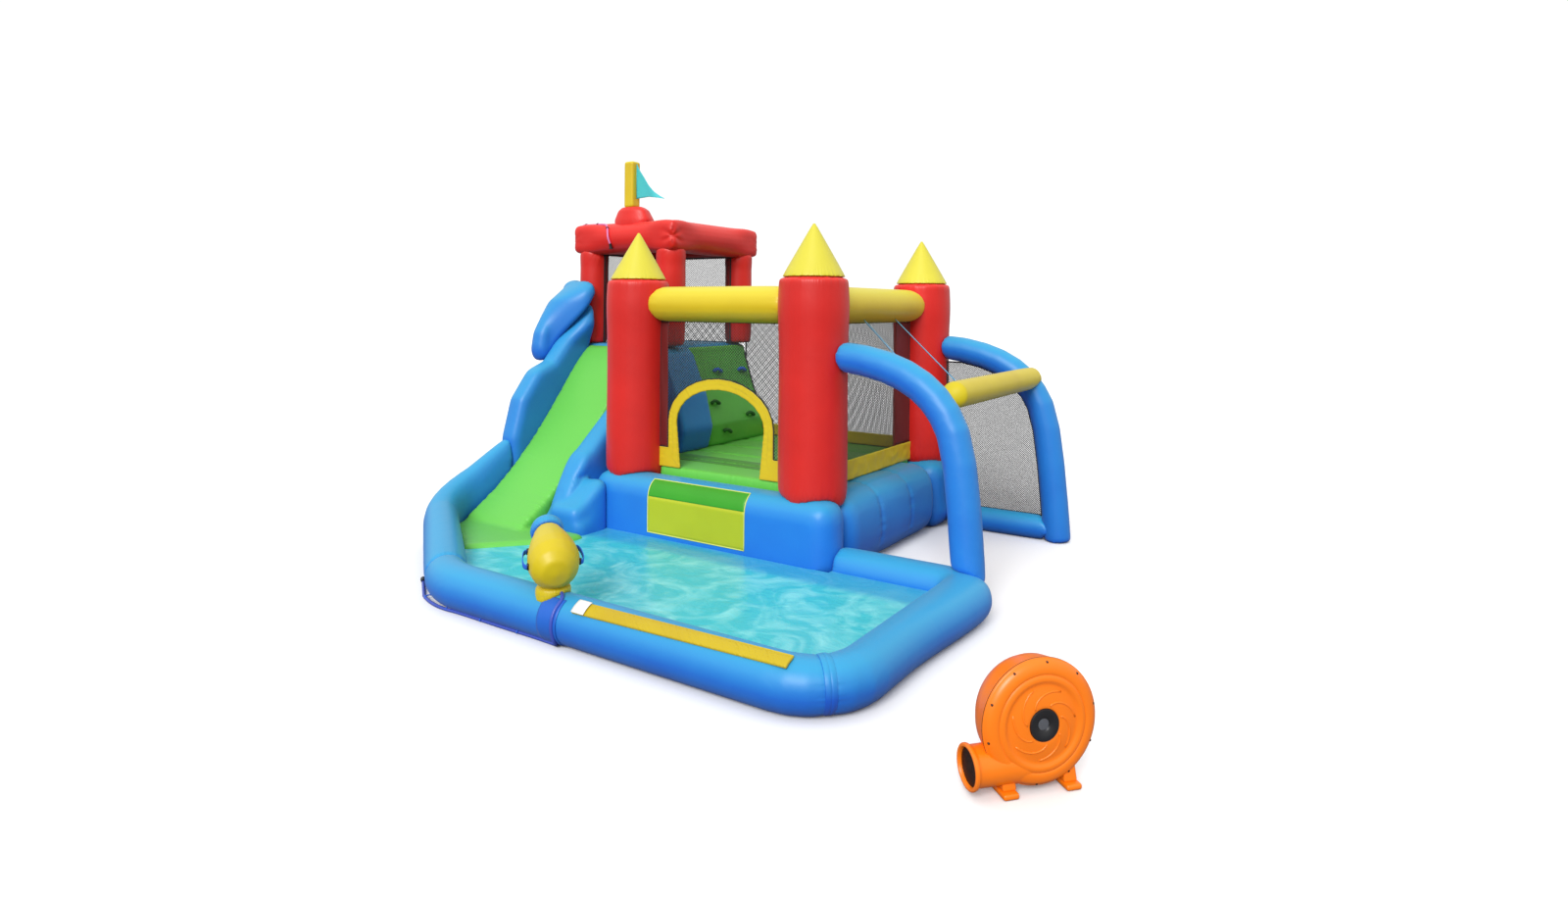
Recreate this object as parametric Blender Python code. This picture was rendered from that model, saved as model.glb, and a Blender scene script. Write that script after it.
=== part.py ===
"""Inflatable water slide: a bouncing castle with a splash pool, climbing wall, slide tower,
goal frame, water cannon and the air blower that stands beside it.

Units are metres and +Z is up. The origin is the middle of the bounce floor's underside, on
the ground. The castle's entrance faces -Y and its goal frame stands on the +X side.
Run with: blender --background --python part.py
"""

import math

import bmesh
import bpy
from mathutils import Matrix, Vector

# Clearances between neighbouring pieces
seam_gap = 0.0003
running_gap = 0.004
overrun = 0.05

# Castle: the bounce floor, its base chambers, corner columns and beams
column_pitch_x = 1.52
column_pitch_y = 1.70
column_radius = 0.222
column_edge = 0.018
column_top = 1.915
column_foot_depth = 0.06
cone_radius = 0.206
cone_height = 0.352
cone_tip_radius = 0.008
base_height = 0.52
base_width = 0.52
front_block_lap = 0.03
base_edge = 0.12
floor_height = 0.562
channel_pitch = 0.34
channel_depth = 0.022
channel_width = 0.05
beam_centre_height = 1.736
beam_radius = 0.123
column_sides = 32
tube_sides = 20
cord_sides = 8
round_squareness = 2.0

# Entrance arch: a flat sewn band
arch_half_width = 0.455
arch_band = 0.075
arch_height = 0.654
arch_spring = 0.33
arch_foot_height = 0.14
arch_foot_inset = 0.035
arch_thickness = 0.012
arch_steps = 14

# Safety nets
net_strand = 0.014
net_thickness = 0.006
net_pitch = 0.28
small_cell_share = 0.4

# Slide tower
post_radius = 0.118
post_pitch_x = 0.875
post_pitch_y = 0.94
post_right_x = -0.99
post_front_y = -0.217
deck_height = 1.395
tower_side = 0.118
tower_edge = 0.06
roof_centre_height = 2.296
roof_tube_radius = 0.13
roof_sheet = 0.02
crown_radius = 0.175
crown_height = 0.137
crown_shares = ((0.62, 0.06), (0.86, 0.26), (1.0, 0.85))
pole_width = 0.095
pole_top = 2.94
pole_edge = 0.012
pennant_hoist = 0.295
pennant_length = 0.30
pennant_thickness = 0.006
pennant_sleeve = 0.005
pennant_drop = 0.02
pennant_shares = ((0.0, 0.0), (0.0, 1.0), (0.28, 0.60), (0.66, 0.16), (1.0, -0.05), (0.45, 0.03))

# Slide lane and its side walls
lane_left_x = -1.78
lane_right_x = -1.17
side_wall_left_x = -1.95
fin_left_x = -2.10
right_wall_x = -0.9903
bumper_right_x = -0.80
bumper_reach = 0.28
bumper_drop = 0.04
bumper_nose_drop = 0.16
bumper_slope = 0.08
lane_crest_reach = 0.20
lane_crest_drop = 0.02
lane_steep_reach = 0.42
lane_steep_share = 0.42
lane_bend = 0.10
lane_foot_reach = 1.20
lane_foot_share = 0.14
lane_run_out = 0.18
lane_toe = 0.03
lane_steps = 9
landing_height = 0.15
landing_edge = 0.03
landing_start_y = -1.30
landing_left_y = -1.70
landing_bend_x = -1.62
landing_bend_y = -1.86
landing_tip_x = -1.22
landing_tip_y = -2.08
landing_corner_x = -0.74
landing_corner_y = -1.52
side_wall_reach = 0.80
side_wall_rise = 0.38
side_wall_shares = ((0.0, 1.0), (0.2, 0.37), (0.5, -0.37), (0.7, -0.53), (0.9, -1.1))
fin_reach = 0.40
fin_rise = 0.55
fin_shares = (
    (-0.325, 0.98),
    (-0.05, 1.0),
    (0.55, 0.655),
    (0.925, 0.18),
    (1.0, -0.11),
    (0.875, -0.29),
    (0.4, 0.035),
    (-0.325, 0.4),
)
right_wall_reach = 0.74
right_wall_fall = 0.74
right_wall_shares = ((0.0, -0.068), (0.365, 0.446), (0.784, 0.811), (1.0, 1.0))
wall_edge = 0.05
fin_edge = 0.07

# Climbing wall inside the castle
wall_foot_x = -0.727
wall_top_drop = 0.02
climb_left_y = -0.415
climb_seam_y = -0.03
climb_edge = 0.04
bolster_bulge = 0.09
climb_ledge = 0.04
climb_height_shares = (0.22, 0.55)
climb_bulge_shares = (0.55, 1.0, 0.6)

# Splash pool
pool_tube_radius = 0.12
pool_front_y = -2.49
pool_right_x = 1.846
pool_back_y = -0.95
pool_corner_radius = 0.28
pool_back_corner_radius = 0.15
pool_left_corner_x = -0.70
pool_left_corner_radius = 0.60
pool_arm_corner_x = -1.93
pool_arm_corner_y = -1.68
pool_arm_corner_radius = 0.40
pool_arm_top = 0.68
pool_arm_squareness = 3.0
pool_arc_steps = 6
liner_thickness = 0.02
pad_start_x = 0.50
pad_end_x = 1.67
pad_thickness = 0.012
pad_rib = 0.006
pad_rib_count = 7
pad_front_angle = 47.0
pad_back_angle = 12.0

# Water cannon on the pool's front tube
cannon_x = 0.183
cannon_yaw = 55.0
cannon_pitch = 15.0
cannon_post_radius = 0.095
cannon_post_top_radius = 0.086
cannon_post_height = 0.035
cannon_length = 0.41
cannon_body_radius = 0.122
cannon_neck_radius = 0.073
cannon_lift = 0.088
cannon_overhang = 0.13
nozzle_ring_radius = 0.09
nozzle_bore_radius = 0.058
nozzle_length = 0.07
cannon_shares = (
    (0.55, 0.03),
    (0.88, 0.13),
    (1.0, 0.30),
    (0.95, 0.47),
    (0.80, 0.68),
)
cannon_neck_share = 0.90
nozzle_shares = ((0.93, 1.0), (1.0, 0.5))
nozzle_root_share = 0.9
handle_start_share = 0.26
handle_foot_shares = (0.99, 0.93)
handle_bend_share = 0.6
handle_length = 0.13
handle_standoff = 0.028
handle_radius = 0.011

# Water hoses
hose_radius = 0.009
hose_lift = 0.0015
hose_rise_offset = 0.13
hose_lead_shares = (0.74, 0.84, 0.93)

# Goal frame
goal_tube_radius = 0.094
goal_spring_height = 1.418
goal_bar_radius = 0.079
goal_bar_reach = 0.905
goal_bar_drop = 0.218
goal_base_radius = 0.088
goal_arc_steps = 8
goal_foot_height = 0.174
goal_reach = 1.10
goal_knee_reach = 0.97
goal_knee_drop = 0.42
goal_start_share = 0.51
goal_knee_in_shares = (-0.11, 0.667)
goal_knee_out_shares = (0.064, -0.405)
goal_foot_shares = (-0.027, 0.857)
hoop_radius = 0.115
hoop_tube = 0.009
hoop_cord_radius = 0.004
cord_tie_angle = 36.0
hoop_setback = 0.39
cord_near_tie = 0.56
cord_far_tie = 1.06

# Air inlet sleeve at the castle's back
sleeve_radius = 0.10
sleeve_wall = 0.006
sleeve_length = 0.42
sleeve_x = 0.20
sleeve_shares = ((0.93, 0.8), (0.97, 0.5))

# Blower
blower_x = 2.693
blower_y = -2.484
blower_turn = 48.0
blower_radius = 0.226
blower_centre_height = 0.250
blower_front_depth = 0.036
blower_rear_depth = 0.135
blower_rear_radius = 0.172
blower_rim = 0.012
blower_rim_depth = 0.012
blower_wall = 0.005
blower_step_radius = 0.165
blower_step = 0.010
blower_step_share = 0.6
blower_back_share = 0.8
intake_radius = 0.058
outlet_radius = 0.064
outlet_wall = 0.006
outlet_drop = 0.150
outlet_offset = 0.036
outlet_reach = 0.266
outlet_flange = 0.008
foot_width = 0.06
foot_front = 0.035
foot_back = 0.120
foot_height = 0.022
foot_spread = 0.125
foot_rib_depth = 0.088
foot_rib_share = 0.6
impeller_radius = 0.15
impeller_offset = 0.045
impeller_width = 0.05
impeller_hub_radius = 0.045
impeller_blades = 14
impeller_blade = 0.006
impeller_sweep = 26.0
sweep_share = 0.35
motor_radius = 0.062
motor_length = 0.125
shaft_radius = 0.008
guard_depth = 0.022
guard_bore_radius = 0.021
guard_lip = 0.004
guard_proud = 0.003
guard_front_share = 0.4
guard_back_share = 0.9
switch_width = 0.020
switch_height = 0.028
switch_thickness = 0.010
switch_rake_share = 0.36
switch_dip_share = 0.7
gland_offset = 0.108
gland_radius = 0.010
gland_length = 0.026
gland_tip_share = 0.7
gland_nut_share = 0.3

# Places that follow from the sizes above
half_x = column_pitch_x / 2
half_y = column_pitch_y / 2
column_foot = base_height - column_foot_depth
beam_bottom = beam_centre_height - beam_radius
goal_bar_x = half_x + goal_bar_reach
goal_bar_height = goal_spring_height - goal_bar_drop
post_left_x = post_right_x - post_pitch_x
post_back_y = post_front_y + post_pitch_y
tower_left_x = post_left_x - tower_side
tower_front_y = post_front_y - tower_side
tower_back_y = post_back_y + tower_side
roof_top = roof_centre_height + roof_tube_radius
roof_bottom = roof_centre_height - roof_tube_radius
roof_middle_x = (post_left_x + post_right_x) / 2
crown_top = roof_top + crown_height
roof_sheet_top = roof_top - roof_tube_radius / 2
pool_tube_top = 2 * pool_tube_radius
cannon_post_top = pool_tube_top + cannon_post_height


def clear_scene():
    for item in list(bpy.data.objects):
        bpy.data.objects.remove(item, do_unlink=True)


def make_material(name, colour, roughness, metallic=0.0):
    material = bpy.data.materials.new(name)
    material.use_nodes = True
    shader = material.node_tree.nodes["Principled BSDF"]
    shader.inputs["Base Color"].default_value = (*colour, 1.0)
    shader.inputs["Roughness"].default_value = roughness
    shader.inputs["Metallic"].default_value = metallic
    return material


def make_palette():
    return {
        "blue": make_material("blue_coated_oxford", (0.03, 0.23, 0.75), 0.45),
        "red": make_material("red_coated_oxford", (0.73, 0.02, 0.01), 0.45),
        "yellow": make_material("yellow_coated_oxford", (0.87, 0.74, 0.03), 0.45),
        "green": make_material("green_coated_oxford", (0.15, 0.60, 0.09), 0.45),
        "leaf": make_material("climbing_green_oxford", (0.05, 0.32, 0.03), 0.5),
        "cyan": make_material("pennant_polyester", (0.15, 0.78, 0.80), 0.6),
        "liner": make_material("pool_liner_vinyl", (0.15, 0.68, 0.72), 0.4),
        "net": make_material("black_mesh", (0.02, 0.02, 0.02), 0.7),
        "hose": make_material("hose_vinyl", (0.10, 0.16, 0.55), 0.4),
        "pink": make_material("sprinkler_vinyl", (0.72, 0.20, 0.45), 0.4),
        "cord": make_material("light_blue_cord", (0.30, 0.60, 0.80), 0.7),
        "orange": make_material("orange_abs", (1.0, 0.19, 0.01), 0.35),
        "black": make_material("black_abs", (0.012, 0.012, 0.012), 0.4),
        "steel": make_material("motor_steel", (0.45, 0.45, 0.47), 0.35, 1.0),
    }


def put(name, mesh_data, material, smooth=True):
    """Turn a bmesh into a named object with its own material."""
    mesh = bpy.data.meshes.new(name)
    bmesh.ops.recalc_face_normals(mesh_data, faces=mesh_data.faces)
    mesh_data.to_mesh(mesh)
    mesh_data.free()
    piece = bpy.data.objects.new(name, mesh)
    bpy.context.collection.objects.link(piece)
    if material is not None:
        mesh.materials.append(material)
    if smooth:
        mesh.shade_smooth()
        mesh.set_sharp_from_angle(angle=math.radians(35.0))
    return piece


def as_cutter(piece):
    piece.hide_render = True
    piece.display_type = "WIRE"
    return piece


def boolean(piece, other, operation="DIFFERENCE"):
    step = piece.modifiers.new(operation.lower() + "_" + other.name, "BOOLEAN")
    step.operation = operation
    step.solver = "EXACT"
    step.object = other


def cut(piece, *cutters):
    for cutter in cutters:
        boolean(piece, cutter)


def soften(piece, width, segments, angle=30.0):
    bevel = piece.modifiers.new("soft_edges", "BEVEL")
    bevel.width = width
    bevel.segments = segments
    bevel.limit_method = "ANGLE"
    bevel.angle_limit = math.radians(angle)


def block_mesh(low, high, grow=0.0):
    data = bmesh.new()
    bmesh.ops.create_cube(data, size=1.0)
    low = Vector(low) - Vector((grow, grow, grow))
    high = Vector(high) + Vector((grow, grow, grow))
    bmesh.ops.scale(data, vec=high - low, verts=data.verts)
    bmesh.ops.translate(data, vec=(low + high) / 2, verts=data.verts)
    return data


def cushion(name, low, high, edge, material, grow=0.0, segments=4):
    """An inflated block: a box whose edges are all rounded."""
    data = block_mesh(low, high, grow)
    bmesh.ops.bevel(
        data,
        geom=list(data.edges),
        offset=edge + grow,
        offset_type="OFFSET",
        segments=segments,
        profile=0.5,
        affect="EDGES",
        clamp_overlap=True,
    )
    return put(name, data, material)


def block_cutter(name, low, high, grow=0.0):
    return as_cutter(put(name, block_mesh(low, high, grow), None, smooth=False))


def lathe(name, profile, sides, material, place=Matrix()):
    """Turn (radius, height) points, listed top to bottom, about local Z."""
    data = bmesh.new()
    verts = [data.verts.new((radius, 0.0, height)) for radius, height in profile]
    edges = [data.edges.new(pair) for pair in zip(verts, verts[1:])]
    bmesh.ops.spin(
        data,
        geom=verts + edges,
        cent=(0, 0, 0),
        axis=(0, 0, 1),
        angle=math.tau,
        steps=sides,
        use_merge=True,
    )
    bmesh.ops.remove_doubles(data, verts=data.verts, dist=seam_gap / 10)
    piece = put(name, data, material)
    piece.matrix_world = place
    return piece


def closed_lathe(name, profile, sides, material, place=Matrix()):
    """Turn a closed section, such as a shell's, whose last point joins its first."""
    return lathe(name, list(profile) + [profile[0]], sides, material, place)


def prism(name, outline, axis, low, high, material, smooth=True):
    """Extrude a flat outline along one axis, from low to high on it.

    The outline's points are (y, z) for axis x, (x, z) for axis y and (x, y) for axis z.
    """
    data = bmesh.new()
    spread = {
        "x": lambda a, b: (low, a, b),
        "y": lambda a, b: (a, low, b),
        "z": lambda a, b: (a, b, low),
    }[axis]
    direction = {"x": Vector((1, 0, 0)), "y": Vector((0, 1, 0)), "z": Vector((0, 0, 1))}[axis]
    face = data.faces.new([data.verts.new(spread(*point)) for point in outline])
    made = bmesh.ops.extrude_face_region(data, geom=[face])
    moved = [item for item in made["geom"] if isinstance(item, bmesh.types.BMVert)]
    bmesh.ops.translate(data, vec=direction * (high - low), verts=moved)
    return put(name, data, material, smooth)


def flat_radius(radius, sides):
    """How far the middle of a many-sided tube's flat lies from its centre line."""
    return radius * math.cos(math.pi / sides)


def ring_points(centre, across, up, half_width, half_height, sides, power=round_squareness):
    """Points of a superellipse about a centre; a squareness of 2 is a plain ellipse."""
    points = []
    for step in range(sides):
        angle = math.tau * (step + 0.5) / sides
        cosine = math.cos(angle)
        sine = math.sin(angle)
        along = math.copysign(abs(cosine) ** (2.0 / power), cosine) * half_width
        above = math.copysign(abs(sine) ** (2.0 / power), sine) * half_height
        points.append(centre + across * along + up * above)
    return points


def loft(name, rings, material):
    """Skin a list of equal rings and close both ends."""
    data = bmesh.new()
    rows = [[data.verts.new(point) for point in ring] for ring in rings]
    for row, following in zip(rows, rows[1:]):
        count = len(row)
        for step in range(count):
            after = (step + 1) % count
            data.faces.new((row[step], row[after], following[after], following[step]))
    data.faces.new(rows[0])
    data.faces.new(rows[-1])
    return put(name, data, material)


def tangents(points):
    last = len(points) - 1
    return [
        (points[min(index + 1, last)] - points[max(index - 1, 0)]).normalized()
        for index in range(len(points))
    ]


def tube(name, points, radius, material, grow=0.0, sides=tube_sides, up=Vector((0, 0, 1))):
    """A round tube along points; radius is one value or one for each point."""
    points = [Vector(point) for point in points]
    radii = radius if isinstance(radius, (list, tuple)) else [radius] * len(points)
    rings = []
    for point, direction, size in zip(points, tangents(points), radii):
        across = direction.cross(up).normalized()
        above = across.cross(direction).normalized()
        rings.append(ring_points(point, across, above, size + grow, size + grow, sides))
    return loft(name, rings, material)


def rounded_path(corners, radii, steps=6):
    """Join straight runs with arcs; radii holds one value for each inner corner."""
    corners = [Vector(corner) for corner in corners]
    path = [corners[0]]
    for before, corner, after, radius in zip(corners, corners[1:], corners[2:], radii):
        incoming = (before - corner).normalized()
        outgoing = (after - corner).normalized()
        half = incoming.angle(outgoing) / 2
        reach = radius / math.tan(half)
        middle = corner + (incoming + outgoing).normalized() * radius / math.sin(half)
        start = corner + incoming * reach
        finish = corner + outgoing * reach
        turn = (start - middle).angle(finish - middle)
        axis = (start - middle).cross(finish - middle).normalized()
        for step in range(steps + 1):
            arm = (start - middle).copy()
            arm.rotate(Matrix.Rotation(turn * step / steps, 3, axis))
            path.append(middle + arm)
    path.append(corners[-1])
    return path


def bezier(start, start_pull, end_pull, end, steps):
    points = []
    for step in range(steps + 1):
        t = step / steps
        points.append(
            start * (1 - t) ** 3
            + start_pull * 3 * t * (1 - t) ** 2
            + end_pull * 3 * t * t * (1 - t)
            + end * t ** 3
        )
    return points


# Castle


def base_block(name, low_x, low_y, high_x, high_y, material, grow=0.0):
    return cushion(name, (low_x, low_y, 0.0), (high_x, high_y, base_height), base_edge, material, grow)


def base_extents():
    side = base_width / 2
    left = -half_x - column_radius
    front_inner = -half_y + front_block_lap
    front = (left, -half_y - side, half_x + side, front_inner)
    back = (left, half_y - side, half_x + side, half_y + side)
    right = (half_x - side, front_inner + seam_gap, half_x + side, half_y - side - seam_gap)
    return {"base_front": front, "base_back": back, "base_right": right}


def make_base(palette):
    cutters = []
    for name, extent in base_extents().items():
        base_block(name, *extent, palette["blue"])
        seat = base_block(name + "_seat", *extent, None, grow=2 * seam_gap)
        cutters.append(as_cutter(seat))
    return cutters


def make_floor(palette, base_cutters):
    """The bounce floor: a thick cushion with sewn channels across its top."""
    low_x = post_right_x + seam_gap
    high_x = half_x
    channels = round(column_pitch_y / channel_pitch)
    pitch = column_pitch_y / channels
    top = []
    for index in range(1, channels):
        middle = -half_y + index * pitch
        top.append((middle - channel_width / 2, floor_height))
        top.append((middle, floor_height - channel_depth))
        top.append((middle + channel_width / 2, floor_height))
    outline = [(-half_y, 0.0), (-half_y, floor_height), *top, (half_y, floor_height), (half_y, 0.0)]
    floor = prism("bounce_floor", outline, "x", low_x, high_x, palette["green"])
    cut(floor, *base_cutters)
    return floor


def column_places():
    return {
        "front_left": (-half_x, -half_y),
        "front_right": (half_x, -half_y),
        "back_right": (half_x, half_y),
    }


def column_cutter(name, grow=seam_gap):
    x, y = column_places()[name]
    profile = [
        (0.0, column_top + cone_height),
        (column_radius + grow, column_top + cone_height),
        (column_radius + grow, column_foot - grow),
        (0.0, column_foot - grow),
    ]
    return as_cutter(
        lathe("column_" + name + "_seat", profile, column_sides, None, Matrix.Translation((x, y, 0)))
    )


def make_columns(palette, base_cutters, floor):
    cutters = {}
    for name, (x, y) in column_places().items():
        profile = [
            (0.0, column_top),
            (cone_radius, column_top),
            (column_radius, column_top - column_edge),
            (column_radius, column_foot),
            (0.0, column_foot),
        ]
        place = Matrix.Translation((x, y, 0))
        column = lathe("column_" + name, profile, column_sides, palette["red"], place)
        cut(column, *base_cutters)
        cone = [
            (0.0, column_top + cone_height),
            (cone_tip_radius, column_top + cone_height - cone_tip_radius),
            (cone_radius, column_top + seam_gap),
            (0.0, column_top + seam_gap),
        ]
        lathe("cone_" + name, cone, column_sides, palette["yellow"], place)
        cutters[name] = column_cutter(name)
    cut(floor, *cutters.values())
    return cutters


def make_beams(palette, columns, post_cutters):
    """Round beams between the columns; each end is cut to the round of what holds it."""
    height = beam_centre_height
    front = [(-half_x, -half_y, height), (half_x, -half_y, height)]
    right = [(half_x, -half_y, height), (half_x, half_y, height)]
    back = [(half_x, half_y, height), (post_right_x, half_y, height)]
    beam = tube("beam_front", front, beam_radius, palette["yellow"])
    cut(beam, columns["front_left"], columns["front_right"])
    beam = tube("beam_right", right, beam_radius, palette["yellow"])
    cut(beam, columns["front_right"], columns["back_right"])
    beam = tube("beam_back", back, beam_radius, palette["yellow"])
    cut(beam, columns["back_right"], post_cutters["back_right"])


def half_ellipse(half_width, low, high, steps):
    """Points of an upright half ellipse from its right foot over the top to its left foot."""
    points = []
    for step in range(steps + 1):
        angle = math.pi * step / steps
        points.append((half_width * math.cos(angle), low + (high - low) * math.sin(angle)))
    return points


def arch_outer():
    """The arch band's outer edge, from its right foot round to its left foot."""
    foot = floor_height + seam_gap
    wide = half_x - column_radius - seam_gap
    block = foot + arch_foot_height
    crown = half_ellipse(arch_half_width, foot + arch_spring, foot + arch_height, arch_steps)
    right = [(wide, foot), (wide, block), (arch_half_width, block)]
    return right + crown + [(-x, z) for x, z in reversed(right)]


def arch_inner():
    foot = floor_height + seam_gap
    inside = arch_half_width - arch_band
    top = foot + arch_height - arch_band
    crown = half_ellipse(inside, foot + arch_spring, top, arch_steps)
    narrow = inside - arch_foot_inset
    return [(narrow, foot)] + crown + [(-narrow, foot)]


def make_arch(palette):
    outline = arch_outer() + list(reversed(arch_inner()))
    low = -half_y - arch_thickness / 2
    return prism("entrance_arch", outline, "y", low, low + arch_thickness, palette["yellow"])


def net(name, outline, axis, place, material):
    """A flat diamond net that fills an outline, with a hem along its edge.

    The outline is (y, z) for axis x and (x, z) for axis y, and place is its spot on the axis.
    """
    data = bmesh.new()
    corners = [Vector((place, a, b) if axis == "x" else (a, place, b)) for a, b in outline]
    data.faces.new([data.verts.new(corner) for corner in corners])
    along = Vector((0, 1, 0)) if axis == "x" else Vector((1, 0, 0))
    up = Vector((0, 0, 1))
    middle = sum(corners, Vector()) / len(corners)
    reach = max((corner - middle).length for corner in corners)
    pitch = net_pitch / math.sqrt(2.0)
    count = int(reach / pitch) + 1
    for normal in ((along + up).normalized(), (along - up).normalized()):
        for index in range(-count, count + 1):
            everything = list(data.verts) + list(data.edges) + list(data.faces)
            bmesh.ops.bisect_plane(
                data,
                geom=everything,
                dist=seam_gap / 10,
                plane_co=middle + normal * pitch * (index + 0.5),
                plane_no=normal,
            )
    full = pitch * pitch
    cells = [face for face in data.faces if face.calc_area() > full * small_cell_share]
    bmesh.ops.inset_individual(
        data, faces=cells, thickness=net_strand / 2, use_even_offset=True
    )
    bmesh.ops.delete(data, geom=cells, context="FACES")
    sheet = bmesh.ops.extrude_face_region(data, geom=list(data.faces))
    moved = [item for item in sheet["geom"] if isinstance(item, bmesh.types.BMVert)]
    normal = along.cross(up)
    bmesh.ops.translate(data, vec=normal * net_thickness, verts=moved)
    bmesh.ops.translate(data, vec=-normal * net_thickness / 2, verts=data.verts)
    return put(name, data, material, smooth=False)


def make_castle_nets(palette):
    bottom = floor_height + 2 * seam_gap
    top = beam_bottom - seam_gap
    edge = column_radius + seam_gap
    outer = [(x + math.copysign(seam_gap, x), z + seam_gap) for x, z in arch_outer()]
    wide = half_x - edge
    net(
        "net_front",
        [(wide, top), (wide, outer[1][1])] + outer[2:-2] + [(-wide, outer[1][1]), (-wide, top)],
        "y",
        -half_y,
        palette["net"],
    )
    side = half_y - edge
    net("net_right", [(-side, bottom), (side, bottom), (side, top), (-side, top)], "x",
        half_x, palette["net"])
    right = half_x - edge
    left = post_right_x + 2 * seam_gap
    net("net_back", [(left, bottom), (right, bottom), (right, top), (left, top)], "y",
        half_y, palette["net"])


# Climbing wall


def make_climbing_wall(palette):
    """A sloped wall up to the deck, with a swelling blue bolster beside it."""
    foot = floor_height + seam_gap
    top = deck_height - wall_top_drop
    back = tower_back_y - tower_edge
    rise = top - foot
    low_x = post_right_x + seam_gap
    ledge_x = low_x + climb_ledge
    low_share, high_share = climb_height_shares
    low_bulge, high_bulge, top_bulge = climb_bulge_shares

    def section(bulge):
        face = [
            (wall_foot_x, foot),
            (wall_foot_x + bulge * low_bulge, foot + rise * low_share),
            ((wall_foot_x + ledge_x) / 2 + bulge * high_bulge, foot + rise * high_share),
            (ledge_x + bulge * top_bulge, top - climb_ledge),
            (ledge_x, top),
        ]
        return [(low_x, foot), *face, (low_x, top)]

    wall = prism("climbing_wall", section(0.0), "y", climb_seam_y + seam_gap, back, palette["leaf"])
    soften(wall, climb_edge, 2)
    bolster = prism(
        "climbing_bolster", section(bolster_bulge), "y", climb_left_y, climb_seam_y, palette["blue"]
    )
    soften(bolster, climb_edge, 3)


# Tower


def post_places():
    return {
        "front_left": (post_left_x, post_front_y),
        "front_right": (post_right_x, post_front_y),
        "back_left": (post_left_x, post_back_y),
        "back_right": (post_right_x, post_back_y),
    }


def post_mesh(name, grow, material, low, high):
    x, y = post_places()[name]
    profile = [
        (0.0, high),
        (post_radius + grow, high),
        (post_radius + grow, low),
        (0.0, low),
    ]
    label = "post_" + name if material else "post_" + name + "_seat"
    return lathe(label, profile, tube_sides, material, Matrix.Translation((x, y, 0)))


def make_posts(palette, roof_cutter):
    cutters = {}
    for name in post_places():
        post = post_mesh(name, 0.0, palette["red"], deck_height + seam_gap, roof_centre_height)
        cut(post, roof_cutter)
        cutters[name] = as_cutter(post_mesh(name, seam_gap, None, deck_height, roof_centre_height))
    return cutters


def roof_mesh(name, grow, material):
    """A square of inflated tubes with mitred corners, closed by a sheet across its middle."""
    data = bmesh.new()
    corners = [
        Vector((post_left_x, post_front_y, roof_centre_height)),
        Vector((post_right_x, post_front_y, roof_centre_height)),
        Vector((post_right_x, post_back_y, roof_centre_height)),
        Vector((post_left_x, post_back_y, roof_centre_height)),
    ]
    middle = sum(corners, Vector()) / len(corners)
    radius = roof_tube_radius + grow
    rows = []
    for corner in corners:
        outward = corner - middle
        diagonal = Vector((math.copysign(1, outward.x), math.copysign(1, outward.y), 0))
        ring = ring_points(corner, diagonal, Vector((0, 0, 1)), radius, radius, tube_sides)
        rows.append([data.verts.new(point) for point in ring])
    for row, following in zip(rows, rows[1:] + rows[:1]):
        for step in range(tube_sides):
            after = (step + 1) % tube_sides
            data.faces.new((row[step], row[after], following[after], following[step]))
    return put(name, data, material)


def make_roof(palette):
    roof = roof_mesh("tower_roof", 0.0, palette["red"])
    sheet = block_cutter(
        "roof_sheet",
        (post_left_x, post_front_y, roof_sheet_top - roof_sheet),
        (post_right_x, post_back_y, roof_sheet_top),
    )
    boolean(roof, sheet, "UNION")
    return as_cutter(roof_mesh("roof_seat", seam_gap, None))


def make_crown_and_flag(palette, roof_cutter):
    """The padded crown on the front roof tube, its inflated pole and the pennant."""
    place = Matrix.Translation((roof_middle_x, post_front_y, 0))
    crown = lathe(
        "roof_crown",
        [
            (0.0, crown_top),
            *[(crown_radius * out, crown_top - crown_height * down) for out, down in crown_shares],
            (crown_radius, roof_sheet_top + seam_gap),
            (0.0, roof_sheet_top + seam_gap),
        ],
        column_sides,
        palette["red"],
        place,
    )
    cut(crown, roof_cutter)
    flat_top = crown_top - crown_height * crown_shares[0][1]
    cut(crown, block_cutter(
        "crown_top_trim",
        (roof_middle_x - crown_radius, post_front_y - crown_radius, flat_top),
        (roof_middle_x + crown_radius, post_front_y + crown_radius, pole_top),
    ))
    half = pole_width / 2
    low = flat_top + seam_gap
    cushion("flag_pole", (roof_middle_x - half, post_front_y - half, low),
            (roof_middle_x + half, post_front_y + half, pole_top), pole_edge, palette["yellow"],
            segments=2)
    hoist_x = half + pennant_sleeve + seam_gap
    outline = [(pennant_length * along, pennant_hoist * up) for along, up in pennant_shares]
    pennant = prism("pennant", outline, "y", -pennant_thickness / 2, pennant_thickness / 2,
                    palette["cyan"], smooth=False)
    sleeve = lathe("pennant_sleeve", [(0.0, pennant_hoist), (pennant_sleeve, pennant_hoist),
                                      (pennant_sleeve, 0.0), (0.0, 0.0)], 12, None)
    boolean(pennant, as_cutter(sleeve), "UNION")
    hinge = bpy.data.objects.new("pennant_hinge", None)
    bpy.context.collection.objects.link(hinge)
    hinge.location = (roof_middle_x + hoist_x, post_front_y,
                      pole_top - pennant_drop - pennant_hoist)
    pennant.parent = hinge
    sleeve.parent = hinge


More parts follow.
